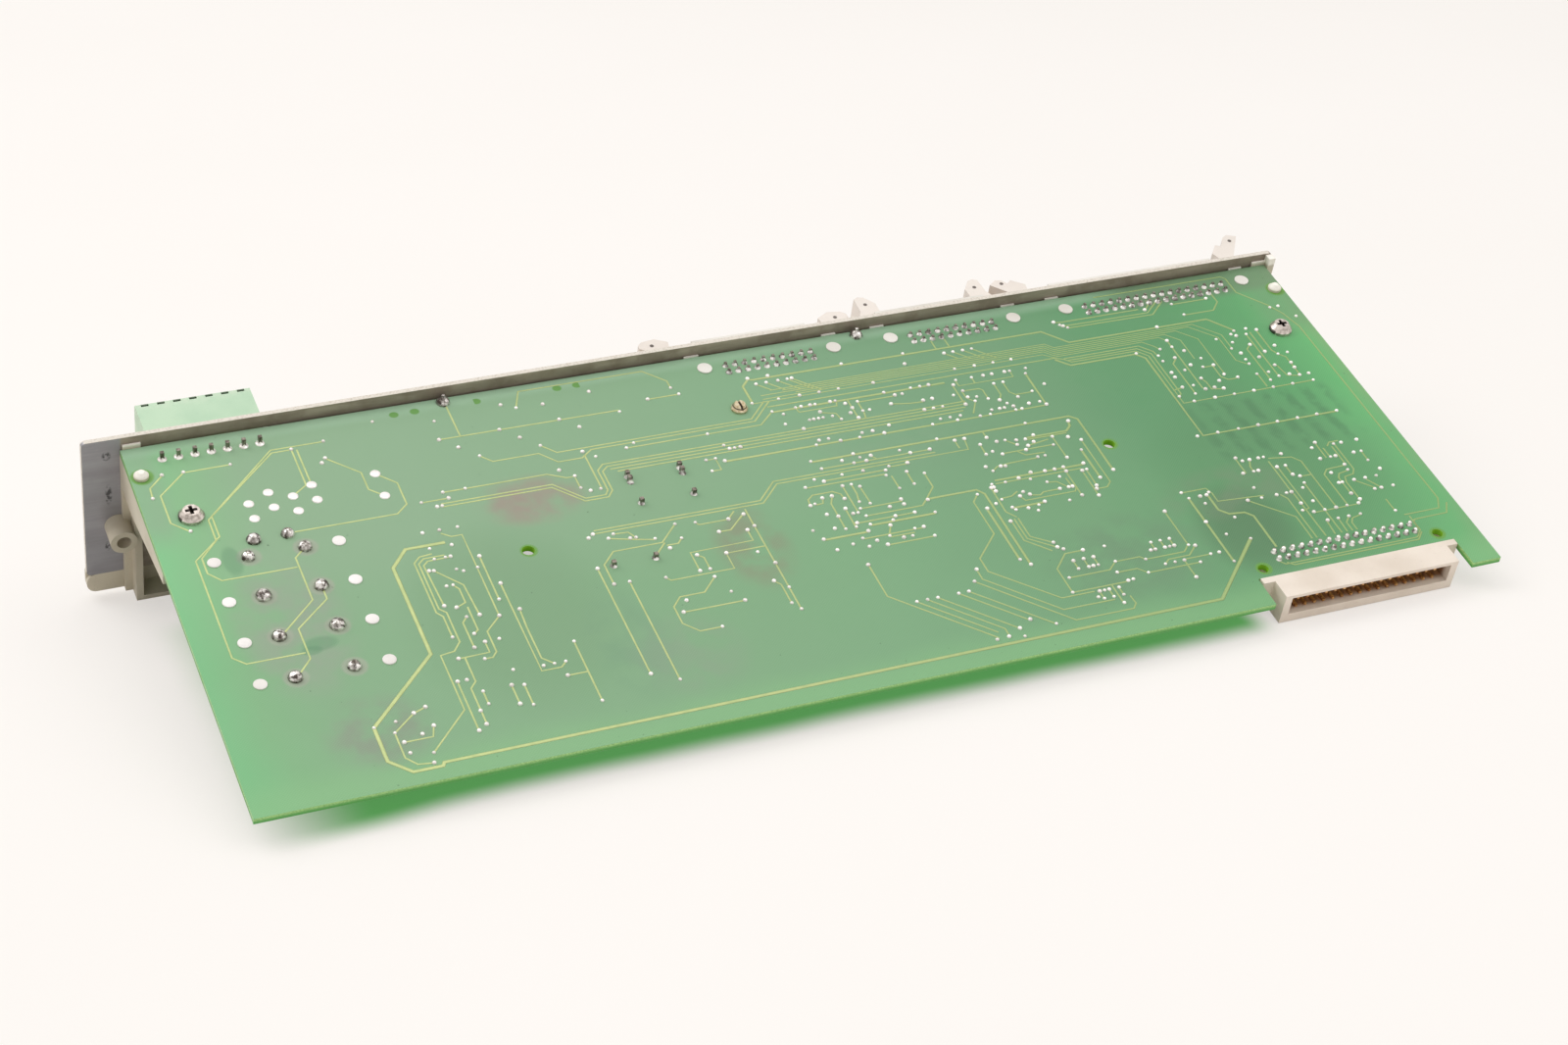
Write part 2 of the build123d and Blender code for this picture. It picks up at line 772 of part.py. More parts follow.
terminal_columns_x = [
    terminal_x + (i - (terminal_poles - 1) / 2) * terminal_pitch for i in range(terminal_poles)
]
terminal_depth = terminal_header_front + terminal_header_back
terminal_mouth = Plane(
    origin=(terminal_x, terminal_front_y, terminal_contact_z), x_dir=(1, 0, 0), z_dir=(0, -1, 0)
)
with BuildPart() as terminal_header:
    with BuildSketch(terminal_mouth):
        Rectangle(terminal_length, terminal_header_height)
    extrude(amount=terminal_depth)
    with BuildSketch(terminal_mouth):
        Rectangle(terminal_length - 2 * terminal_wall, terminal_header_height - 2 * terminal_wall)
    extrude(amount=terminal_depth - terminal_floor, mode=Mode.SUBTRACT)
finish(terminal_header, "terminal_header")

with BuildPart() as terminal_pins:
    half = terminal_pin_width / 2
    with BuildSketch(*[Plane.YZ.offset(x) for x in terminal_columns_x]):
        with BuildLine():
            Polyline(
                (terminal_row_y - half, terminal_pin_tip),
                (terminal_row_y + half, terminal_pin_tip),
                (terminal_row_y + half, terminal_contact_z + half),
                (terminal_row_y + terminal_pin_front, terminal_contact_z + half),
                (terminal_row_y + terminal_pin_front, terminal_contact_z - half),
                (terminal_row_y - half, terminal_contact_z - half),
                close=True,
            )
        make_face()
    extrude(amount=half, both=True)
finish(terminal_pins, "terminal_pins")

with BuildPart() as terminal_plug:
    plug_face = Plane(
        origin=(plug_x, plug_reach, (plug_top + plug_bottom) / 2), x_dir=(1, 0, 0), z_dir=(0, -1, 0)
    )
    with BuildSketch(plug_face):
        Rectangle(terminal_length, plug_height)
    extrude(amount=plug_reach - plug_back_y)
    chamfer(terminal_plug.edges().filter_by(Axis.X).group_by(Axis.Y)[-1], 0.5)
    # tongue into the header, over the pins
    tongue_plane = Plane(
        origin=(terminal_x, plug_back_y, terminal_contact_z), x_dir=(1, 0, 0), z_dir=(0, -1, 0)
    )
    with BuildSketch(tongue_plane):
        Rectangle(terminal_length - 2 * terminal_wall - 2 * cutout_clearance, plug_tongue_height)
    extrude(amount=plug_tongue_depth)
    # wire entries in the outer face
    with BuildSketch(plug_face):
        with GridLocations(terminal_pitch, 1, terminal_poles, 1):
            Rectangle(wire_hole, wire_hole)
    extrude(amount=wire_hole_depth, mode=Mode.SUBTRACT)
    # screw wells in the face away from the board
    with BuildSketch(Plane.XY.offset(plug_bottom)):
        with Locations((plug_x, clamp_y)):
            with GridLocations(terminal_pitch, 1, terminal_poles, 1):
                Rectangle(clamp_hole, clamp_hole)
    extrude(amount=clamp_hole_depth, mode=Mode.SUBTRACT)
    # release slots along the outer edge of the face by the board
    with BuildSketch(Plane.XY.offset(plug_top)):
        with Locations((plug_x, plug_reach - release_slot_inset - release_slot_width / 2)):
            with GridLocations(terminal_pitch, 1, terminal_poles, 1):
                Rectangle(release_slot_length, release_slot_width)
    extrude(amount=-release_slot_depth, mode=Mode.SUBTRACT)
finish(terminal_plug, "terminal_plug")

clamp_screw_top = plug_bottom + clamp_hole_depth
with BuildPart() as clamp_screws:
    with BuildSketch(Plane.XY.offset(clamp_screw_top)):
        with Locations((plug_x, clamp_y)):
            with GridLocations(terminal_pitch, 1, terminal_poles, 1):
                Circle(clamp_screw_r)
    extrude(amount=-clamp_screw_height)
finish(clamp_screws, "clamp_screws")

# ------------------------------------------------------------ bus connector

bus_columns_x = [bus_x + (i - (bus_columns - 1) / 2) * pitch for i in range(bus_columns)]
bus_mouth = Plane(
    origin=(bus_x, bus_shell_rear_y, (bus_top + bus_bottom) / 2), x_dir=(-1, 0, 0), z_dir=(0, 1, 0)
)
bus_opening_height = bus_shell_height - bus_shell_top_wall - bus_shell_bottom_wall
with BuildPart() as bus_connector:
    with BuildSketch(bus_mouth):
        Rectangle(bus_shell_length, bus_shell_height)
    extrude(amount=bus_back_y - bus_shell_rear_y)
    # flange against the notch
    with BuildSketch(bus_mouth.offset(bus_back_y - bus_shell_rear_y - bus_flange_depth)):
        Rectangle(bus_flange_length, bus_shell_height)
    extrude(amount=bus_flange_depth)
    # block under the board that carries the contacts, and its two ears
    with BuildSketch(Plane.XY.offset(component_face)):
        with Locations((bus_x, bus_back_y + bus_wall / 2)):
            Rectangle(bus_shell_length, bus_wall)
    extrude(amount=bus_bottom - component_face)
    with BuildSketch(Plane.XY.offset(component_face)):
        for x, y in bus_hole_spots:
            with Locations((x, (bus_back_y + y + bus_ear_length / 2) / 2)):
                Rectangle(bus_ear_length, y + bus_ear_length / 2 - bus_back_y)
    extrude(amount=-bus_ear_height)
    # cavity for the mating half
    with BuildSketch(bus_mouth):
        with Locations((0, (bus_shell_bottom_wall - bus_shell_top_wall) / 2)):
            Rectangle(bus_shell_length - 2 * bus_shell_wall, bus_opening_height)
    extrude(amount=bus_back_y - bus_shell_rear_y, mode=Mode.SUBTRACT)
    with BuildSketch(Plane.XY.offset(component_face)):
        with Locations(*bus_hole_spots):
            Circle(bus_hole_r)
    extrude(amount=bus_bottom - component_face, mode=Mode.SUBTRACT)
finish(bus_connector, "bus_connector")

with BuildPart() as bus_contacts:
    half = pin_width / 2
    bus_rows = [(bus_rear_row_y, bus_top_row_z), (bus_front_row_y, bus_low_row_z)]
    with BuildSketch(*[Plane.YZ.offset(x) for x in bus_columns_x]):
        for row_y, contact_z in bus_rows:
            with BuildLine():
                Polyline(
                    (row_y + half, pin_tip),
                    (row_y - half, pin_tip),
                    (row_y - half, contact_z + half),
                    (bus_contact_rear_y, contact_z + half),
                    (bus_contact_rear_y, contact_z - half),
                    (row_y + half, contact_z - half),
                    close=True,
                )
            make_face()
    extrude(amount=half, both=True)
finish(bus_contacts, "bus_contacts")

# ------------------------------------------------------------- supply parts


def make_choke(y):
    """Potted choke: a waisted block on a wider base."""
    with BuildPart() as choke:
        with BuildSketch(Plane.XY.offset(component_face)):
            with Locations((choke_x, y)):
                Rectangle(choke_length, choke_width)
        extrude(amount=-choke_base)
        with BuildSketch(Plane.XY.offset(component_face - choke_base)):
            with Locations((choke_x, y)):
                Rectangle(choke_length - 2 * choke_waist, choke_width - 2 * choke_waist)
        extrude(amount=-(choke_height - choke_base))
        chamfer(choke.faces().sort_by(Axis.Z)[0].edges(), choke_edge)
    return choke


for i, y in enumerate(choke_ys):
    finish(make_choke(y), f"choke_{i + 1}")

with BuildPart() as heavy_leads:
    with BuildSketch(Plane.XY.offset(component_face)):
        with Locations(*heavy_lead_spots):
            Rectangle(lead_width, lead_width)
    extrude(amount=lead_tip - component_face)
finish(heavy_leads, "heavy_leads")


def make_block(x, y, length, width, height):
    """Moulded component body under the board, its edges broken on the far side."""
    with BuildPart() as block:
        with BuildSketch(Plane.XY.offset(component_face)):
            with Locations((x, y)):
                Rectangle(length, width)
        extrude(amount=-height)
        chamfer(block.faces().sort_by(Axis.Z)[0].edges(), moulded_edge)
    return block


blocks = {
    "filter_coil": (left_edge + filter_inset, filter_y, filter_length, filter_width, filter_height),
    "control_relay": (relay_x, relay_y, relay_length, relay_width, relay_height),
    "dc_converter": (converter_x, converter_y, converter_length, converter_width, converter_height),
    "film_capacitor": (film_x, film_y, film_length, film_width, film_height),
}
for name, (x, y, length, width, height) in blocks.items():
    finish(make_block(x, y, length, width, height), name)


def make_capacitor(x, y, radius, height):
    """Radial can, standing on the component side."""
    with BuildPart() as can:
        with BuildSketch(Plane.XY.offset(component_face)):
            with Locations((x, y)):
                Circle(radius)
        extrude(amount=-height)
    return can


for i, (x, y, radius, height) in enumerate(capacitors):
    finish(make_capacitor(x, y, radius, height), f"capacitor_{i + 1}")

with BuildPart() as regulator:
    tab_front_y = slot_screw_y + tab_hole_inset
    body_front_y = tab_front_y - regulator_tab_depth
    with BuildSketch(Plane.XY.offset(component_face)):
        with Locations((slot_screw_x, (tab_front_y + body_front_y) / 2 - regulator_body_depth / 2)):
            Rectangle(tab_width, regulator_tab_depth + regulator_body_depth)
        with Locations((slot_screw_x, slot_screw_y)):
            Circle(slot_shank_r + hole_clearance, mode=Mode.SUBTRACT)
    extrude(amount=-tab_thickness)
    with BuildSketch(Plane.XY.offset(component_face)):
        with Locations((slot_screw_x, body_front_y - regulator_body_depth / 2)):
            Rectangle(tab_width, regulator_body_depth)
    extrude(amount=-regulator_height)
    with BuildSketch(Plane.XY.offset(component_face)):
        with Locations((slot_screw_x, body_front_y - regulator_body_depth - regulator_lead_length / 2)):
            with GridLocations(pitch, 1, 3, 1):
                Rectangle(regulator_lead_width, regulator_lead_length)
    extrude(amount=-regulator_lead_width)
finish(regulator, "regulator")

# ------------------------------------------------- dual in-line packages


def make_package(x, y):
    """Moulded package with two rows of legs down to the board."""
    body_top = component_face - package_standoff
    with BuildPart() as package:
        with BuildSketch(Plane.XY.offset(body_top)):
            with Locations((x, y)):
                Rectangle(package_length, package_width)
        extrude(amount=-package_height)
        # legs flat against the body's sides, down to the board
        with BuildSketch(Plane.XY.offset(component_face)):
            with Locations((x, y)):
                with GridLocations(pitch, package_width + package_lead_thickness, package_pins, 2):
                    Rectangle(package_lead_width, package_lead_thickness)
        extrude(amount=-package_lead_rise)
    return package


for i, (x, y) in enumerate(package_spots):
    finish(make_package(x, y), f"package_{i + 1}")

# ------------------------------------------- input capacitors and networks


for i in range(input_count):
    x = input_x + i * input_pitch
    finish(make_block(x, input_y, input_width, input_length, input_height), f"input_capacitor_{i + 1}")

for i, (x, y) in enumerate(network_spots):
    finish(make_block(x, y, network_length, network_width, network_height), f"network_{i + 1}")

# ------------------------------------------------------------- laying down

# The card leans until the rail's foot and the bus connector's lower edge are level.
lean = math.degrees(math.atan2(bus_bottom - rail_bottom, foot_y - bus_shell_rear_y))
for piece in pieces:
    piece.part.move(Location((0, 0, 0), (lean, 0, 0)))
whole = Compound([piece.part for piece in pieces]).bounding_box()
shift = (-whole.center().X, -whole.center().Y, -whole.min.Z)
for piece in pieces:
    piece.part.move(Location(shift))
    export_step(piece.part, f"parts/{piece.part.label}.step")
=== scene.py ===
import json
import math

import bpy
from mathutils import Matrix, Vector


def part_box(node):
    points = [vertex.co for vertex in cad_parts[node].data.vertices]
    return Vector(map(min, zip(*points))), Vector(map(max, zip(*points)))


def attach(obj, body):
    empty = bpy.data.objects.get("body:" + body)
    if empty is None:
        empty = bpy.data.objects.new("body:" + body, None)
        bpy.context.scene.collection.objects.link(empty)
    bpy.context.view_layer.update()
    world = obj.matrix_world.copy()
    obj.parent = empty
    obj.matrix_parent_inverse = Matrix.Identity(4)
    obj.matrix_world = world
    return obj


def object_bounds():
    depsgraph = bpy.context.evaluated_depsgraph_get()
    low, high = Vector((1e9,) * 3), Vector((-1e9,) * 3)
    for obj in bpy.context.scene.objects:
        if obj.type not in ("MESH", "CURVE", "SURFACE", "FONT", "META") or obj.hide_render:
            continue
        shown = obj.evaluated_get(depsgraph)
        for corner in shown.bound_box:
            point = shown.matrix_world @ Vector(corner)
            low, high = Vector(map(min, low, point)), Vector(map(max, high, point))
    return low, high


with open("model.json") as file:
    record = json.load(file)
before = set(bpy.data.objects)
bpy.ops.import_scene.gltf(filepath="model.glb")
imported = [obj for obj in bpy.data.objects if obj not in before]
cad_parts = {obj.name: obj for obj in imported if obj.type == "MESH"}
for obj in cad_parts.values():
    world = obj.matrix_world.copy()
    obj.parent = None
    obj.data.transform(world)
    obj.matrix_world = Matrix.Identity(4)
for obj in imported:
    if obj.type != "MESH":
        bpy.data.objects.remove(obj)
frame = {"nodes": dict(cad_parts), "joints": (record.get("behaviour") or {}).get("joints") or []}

bl_info = {
    "name": "Interface board",
    "version": (1, 0, 0),
    "blender": (4, 5, 0),
    "location": "3D View > Sidebar > Interface board",
    "description": "Dresses a plug-in interface card: its solder side, its joints and its mouldings",
    "category": "Add Mesh",
}

MM = 0.001
cad_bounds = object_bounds()

# Where the camera stands and how it is turned, in the card's own frame, and
# how far below the part the table lies.
camera_place = (-259.25, -518.3, 459.2)
camera_turn = (2.2863, -0.3874, 0.3373)
camera_lens = 68.36
table_gap = 0.2 * MM

# The card's own frame: X along the board, Y to the panel, Z out of the solder
# side, with its origin at the middle of the board's front edge.
board_thickness = 1.6 * MM
board_low, board_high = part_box("circuit_board")
swing = next(j for j in frame["joints"] if j["name"] == "latch_a_left_swing")
lean = math.atan2(-swing["axis"][1], swing["axis"][2])
card_origin = Vector((
    (board_low.x + board_high.x) / 2,
    board_high.y - board_thickness * math.sin(lean),
    board_high.z,
))
card = Matrix.Translation(card_origin) @ Matrix.Rotation(lean, 4, "X")
board_left = (board_low.x - card_origin.x) / MM
board_length = (board_high.x - board_low.x) / MM


def tint(red, green, blue):
    """A colour given as it looks on a screen, from 0 to 255, as a linear one."""
    return tuple(((c / 255 + 0.055) / 1.055) ** 2.4 for c in (red, green, blue))


def card_place(point):
    """A point of the row's frame as millimetres on the card."""
    return card.inverted() @ point / MM


def reach(node):
    """Lowest and highest corner of a CAD node on the card, in millimetres."""
    corners = [card_place(v.co) for v in frame["nodes"][node].data.vertices]
    return (Vector([min(c[i] for c in corners) for i in range(3)]),
            Vector([max(c[i] for c in corners) for i in range(3)]))


# ---------------------------------------------------------------- finishes

class Value:
    """A node's output. Python's operators on it add Math nodes."""

    def __init__(self, finish, socket):
        self.finish = finish
        self.socket = socket

    def __add__(self, other):
        return self.finish.maths("ADD", self, other)

    def __radd__(self, other):
        return self.finish.maths("ADD", other, self)

    def __sub__(self, other):
        return self.finish.maths("SUBTRACT", self, other)

    def __rsub__(self, other):
        return self.finish.maths("SUBTRACT", other, self)

    def __mul__(self, other):
        return self.finish.maths("MULTIPLY", self, other)

    def __rmul__(self, other):
        return self.finish.maths("MULTIPLY", other, self)

    def __truediv__(self, other):
        return self.finish.maths("DIVIDE", self, other)

    def __gt__(self, other):
        return self.finish.maths("GREATER_THAN", self, other)

    def __lt__(self, other):
        return self.finish.maths("LESS_THAN", self, other)


class Nodes:
    """A node tree under construction."""

    def __init__(self, tree):
        self.tree = tree
        tree.nodes.clear()

    def feed(self, socket, value):
        if isinstance(value, Value):
            self.tree.links.new(value.socket, socket)
        elif isinstance(value, (tuple, list)) and len(value) == 3 and socket.type == "RGBA":
            socket.default_value = (*value, 1.0)
        else:
            socket.default_value = value

    def node(self, kind, settings=None, sockets=None, output=0):
        """Adds a node, sets it up, then fills its sockets; gives one output."""
        node = self.tree.nodes.new(kind)
        for key, value in (settings or {}).items():
            if key == "stops":
                ramp = node.color_ramp
                while len(ramp.elements) > 1:
                    ramp.elements.remove(ramp.elements[-1])
                for index, (place, colour) in enumerate(value):
                    element = ramp.elements[0] if index == 0 else ramp.elements.new(place)
                    element.position = place
                    element.color = (*colour, 1.0)
            else:
                setattr(node, key, value)
        for key, value in (sockets or {}).items():
            self.feed(node.inputs[key], value)
        return Value(self, node.outputs[output])

    def maths(self, operation, a, b=0.0):
        return self.node("ShaderNodeMath", {"operation": operation}, {0: a, 1: b})

    def mix(self, amount, a, b):
        return self.node(
            "ShaderNodeMix", {"data_type": "RGBA", "clamp_factor": True}, {0: amount, 6: a, 7: b}, 2)

    def smooth(self, value, low, high):
        """0 below low, 1 above high, eased between."""
        return self.node(
            "ShaderNodeMapRange", {"interpolation_type": "SMOOTHSTEP"},
            {"Value": value, "From Min": low, "From Max": high})

    def band(self, value, rise, fall):
        """Rises from 0 to 1 over one span of the value, falls again over the other."""
        return self.smooth(value, *rise) * (1.0 - self.smooth(value, *fall))

    def place(self):
        """Where a point is in the row's frame, in metres."""
        return self.node("ShaderNodeTexCoord", output=3)

    def on_card(self):
        """Where a point is on the card, in millimetres."""
        return self.node(
            "ShaderNodeMapping", {"vector_type": "TEXTURE"},
            {"Vector": self.place(), "Location": tuple(card_origin),
             "Rotation": (lean, 0.0, 0.0), "Scale": (MM, MM, MM)})

    def parts(self, vector):
        node = self.tree.nodes.new("ShaderNodeSeparateXYZ")
        self.feed(node.inputs[0], vector)
        return [Value(self, out) for out in node.outputs]

    def noise(self, vector, scale, detail=3.0, rough=0.5, stretch=None):
        if stretch:
            vector = self.node("ShaderNodeMapping", {}, {"Vector": vector, "Scale": stretch})
        return self.node(
            "ShaderNodeTexNoise", {},
            {"Vector": vector, "Scale": scale, "Detail": detail, "Roughness": rough})

    def spot(self, vector, middle, radius, soft=0.5, stretch=(1.0, 1.0)):
        """A soft round mask on the card: 1 inside, 0 beyond the radius."""
        x, y, _ = self.parts(vector)
        dx = (x - middle[0]) / (radius * stretch[0])
        dy = (y - middle[1]) / (radius * stretch[1])
        away = dx * dx + dy * dy
        return 1.0 - self.smooth(away, soft * soft, 1.0)

    def fold(self, value, half):
        """A saw-tooth that runs between 0 and half."""
        return self.maths("PINGPONG", value, half)

    def ramp(self, value, stops):
        return self.node("ShaderNodeValToRGB", {"stops": stops}, {"Fac": value})

    def bump(self, height, strength=0.2, distance=0.0001):
        return self.node(
            "ShaderNodeBump", {},
            {"Height": height, "Strength": strength, "Distance": distance})

    def seen(self):
        """1 on rays from the camera, a gloss or a transmission, 0 on the others."""
        camera, glossy, passed = (self.node("ShaderNodeLightPath", output=i) for i in (0, 3, 6))
        return self.maths("MINIMUM", camera + glossy + passed, 1.0)


class Finish(Nodes):
    """A material under construction, with one principled shader."""

    def __init__(self, name):
        self.material = bpy.data.materials.new(name)
        self.material.use_nodes = True
        super().__init__(self.material.node_tree)
        self.shader = self.tree.nodes.new("ShaderNodeBsdfPrincipled")
        self.output = self.tree.nodes.new("ShaderNodeOutputMaterial")
        self.tree.links.new(self.shader.outputs[0], self.output.inputs[0])

    def coat(self, **sockets):
        """Feeds the shader's own sockets, named with underscores."""
        for key, value in sockets.items():
            self.feed(self.shader.inputs[key.replace("_", " ")], value)
        return self.material


def moulded(name, colour, worn, roughness=0.42, speckle=0.5):
    """Moulded plastic: a faint mottle, dust in the texture and a soft sheen."""
    f = Finish(name)
    where = f.place()
    cloud = f.noise(where, 60.0, 4.0)
    grain = f.noise(where, 2600.0, 2.0)
    colour = f.mix(f.smooth(cloud, 0.35, 0.75), colour, worn)
    colour = f.mix(f.smooth(grain, 0.62, 0.8) * speckle, colour, tuple(c * 0.55 for c in worn))
    return f.coat(
        Base_Color=colour,
        Roughness=f.smooth(cloud, 0.3, 0.7) * 0.12 + roughness,
        Specular_IOR_Level=0.45,
        Normal=f.bump(grain, 0.12, 0.00005))


def solder_finish(name, light, shade, metallic=0.45, roughness=0.28):
    """Tin-lead solder: bright, with a frosted grain and a duller skin in places."""
    f = Finish(name)
    where = f.place()
    grain = f.noise(where, 3200.0, 3.0)
    cloud = f.noise(where, 700.0, 3.0)
    colour = f.mix(f.smooth(cloud, 0.38, 0.68), light, shade)
    return f.coat(
        Base_Color=colour, Metallic=metallic,
        Roughness=f.smooth(cloud, 0.3, 0.7) * 0.18 + roughness,
        Normal=f.bump(grain, 0.25, 0.00004))


class CardPlastic(Finish):
    """Moulded plastic whose marks follow the card: mottled first, dusted last."""

    def __init__(self, name, colour, worn, mottle=0.06):
        super().__init__(name)
        self.where = self.on_card()
        self.cloud = self.noise(self.where, mottle, 4.0)
        self.colour = self.mix(self.smooth(self.cloud, 0.35, 0.75), colour, worn)

    def paint(self, mask, colour):
        self.colour = self.mix(mask, self.colour, colour)

    def dusted(self, amount, dust, roughness):
        grain = self.noise(self.where, 2.4, 2.0)
        self.paint(self.smooth(grain, 0.64, 0.8) * amount, dust)
        return self.coat(
            Base_Color=self.colour, Roughness=self.smooth(self.cloud, 0.3, 0.7) * 0.12 + roughness,
            Normal=self.bump(grain, 0.12, 0.00005))


def bracket_finish(ivory):
    """Ivory brackets: the web like the rail, the pegs' rounded heads painted paler as painted light."""
    f = CardPlastic("bracket_plastic", ivory, tint(188, 178, 158))
    _, _, z = f.parts(f.where)
    # Painted light: the pegs' heads, which stand above the solder face, are painted paler
    f.paint(f.smooth(z, 0.3, 1.3), tint(250, 244, 234))
    return f.dusted(0.3, tint(128, 118, 100), 0.45)


def bus_finish(beige):
    """Beige connector shell, with painted shade inside the mouth round the contacts, brown and darker
    between them.
    """
    f = CardPlastic("bus_plastic", beige, tint(222, 208, 192))
    x, y, z = f.parts(f.where)
    low, high = reach("bus_contacts")
    shell_low, _ = reach("bus_connector")
    # Painted shade inside the mouth, darker between the contacts
    inside = (
        f.smooth(y, shell_low.y + 0.9, shell_low.y + 3.0)
        * (x > low.x - 3.0) * (x < high.x + 3.0) * (z < -2.6) * (z > shell_low.z + 1.2))
    stripes = f.smooth(f.fold(x - low.x, 1.27), 0.3, 0.9)
    f.paint(inside, f.mix(stripes * 0.5, tint(172, 128, 90), tint(104, 70, 46)))
    return f.dusted(0.25, tint(150, 132, 110), 0.4)


def terminal_finish(green):
    """Pale green terminal plastic, chalkier towards the plug's outer edge."""
    f = CardPlastic("terminal_plastic", green, tint(176, 206, 176), 0.07)
    x, y, z = f.parts(f.where)
    low, high = reach("terminal_plug")
    chalky = f.smooth(y, high.y - 4.0, high.y - 1.0) * f.smooth(f.noise(f.where, 0.5, 3.0), 0.3, 0.7)
    f.paint(chalky * 0.6, tint(206, 220, 196))
    # Painted shade: the slots and wire ways are painted dark inside
    slot_shade = (z < high.z - 0.35) * (z > low.z + 0.35) * (y < high.y - 0.4) * (y > high.y - 6.0)
    slot_shade = slot_shade * (x > low.x + 0.4) * (x < high.x - 0.4)
    f.paint(slot_shade * 0.8, tint(52, 62, 50))
    return f.dusted(0.2, tint(120, 148, 118), 0.4)


def metal_finish(name, light, dark, roughness, metallic):
    """Plated or drawn metal, duller in clouds."""
    f = Finish(name)
    where = f.place()
    cloud = f.noise(where, 900.0, 4.0)
    grain = f.noise(where, 4200.0, 2.0)
    return f.coat(
        Base_Color=f.mix(f.smooth(cloud, 0.35, 0.7), light, dark),
        Metallic=metallic,
        Roughness=f.smooth(cloud, 0.3, 0.7) * 0.15 + roughness,
        Normal=f.bump(grain, 0.15, 0.00004))


def board_ground(f, where, x, y):
    """The mask's colour from end to end of the board, with painted light through the laminate brighter at
    the ends and painted shade of the bodies below darker between, then where it departs from that.
    """
    drift = f.noise(where, 0.03, 3.0)
    # Painted light and shade: brighter and greener towards both ends, where light comes through the
    # laminate, darker between, in the shade of the bodies below
    ground = f.ramp((x + drift * 16.0 - board_left - 8.0) / board_length, (
        (0.0, tint(120, 188, 130)), (0.035, tint(128, 176, 128)), (0.08, tint(134, 167, 132)),
        (0.2, tint(133, 166, 132)), (0.36, tint(128, 163, 127)), (0.5, tint(121, 161, 123)),
        (0.6, tint(111, 152, 115)), (0.7, tint(104, 147, 108)), (0.8, tint(86, 142, 96)),
        (0.88, tint(80, 141, 91)), (0.95, tint(82, 152, 94)), (0.985, tint(92, 172, 104)),
        (1.0, tint(116, 168, 108))))
    lower = 1.0 - f.smooth(y + drift * 20.0, -70.0, -30.0)
    # Painted light: a brighter band along the rear edge, where light comes through the laminate
    rear = 1.0 - f.smooth(y + f.noise(where, 0.05, 2.0) * 6.0, -114.0, -103.0)
    # Painted shade: darker patches where bodies under the board block the light through the laminate
    shade_behind_converter = f.spot(where, (-82.0, -76.0), 36.0, 0.3, (0.8, 1.0))
    shade_behind_third_header = f.spot(where, (112.0, -74.0), 40.0, 0.3, (0.85, 0.9))
    shade_before_bus = f.spot(where, (96.0, -93.0), 17.0, 0.3, (0.9, 1.1))
    terminal_corner = (1.0 - f.smooth(x, -149.5, -143.0)) * f.smooth(y, -38.0, -26.0)
    # Painted shade: darker in the front right corner, in the shade of the header pins
    pin_shade_corner = f.smooth(x, 96.0, 112.0) * f.smooth(y, -11.0, -7.0)
    # Painted shade round the screw, darker through the laminate
    shade_under_screw = f.smooth(x, 136.0, 146.0) * f.smooth(y, -32.0, -20.0)
    # Painted light: paler along the front edge, lifting the shade that the panel casts there
    front = f.smooth(y, -5.0, -1.0) * (1.0 - pin_shade_corner * 0.8)
    for mask, amount, colour in (
        (lower, 0.35, tint(106, 160, 110)), (rear, 0.55, tint(128, 182, 124)),
        (shade_behind_converter, 0.6, tint(114, 150, 112)), (shade_behind_third_header, 0.55, tint(80, 132, 86)),
        (shade_before_bus, 0.6, tint(70, 106, 72)), (terminal_corner, 0.6, tint(136, 158, 132)),
        (pin_shade_corner, 0.55, tint(104, 112, 92)), (shade_under_screw, 0.5, tint(110, 138, 104)),
        (front, 0.6, tint(166, 200, 170)),
    ):
        ground = f.mix(mask * amount, ground, colour)
    return ground


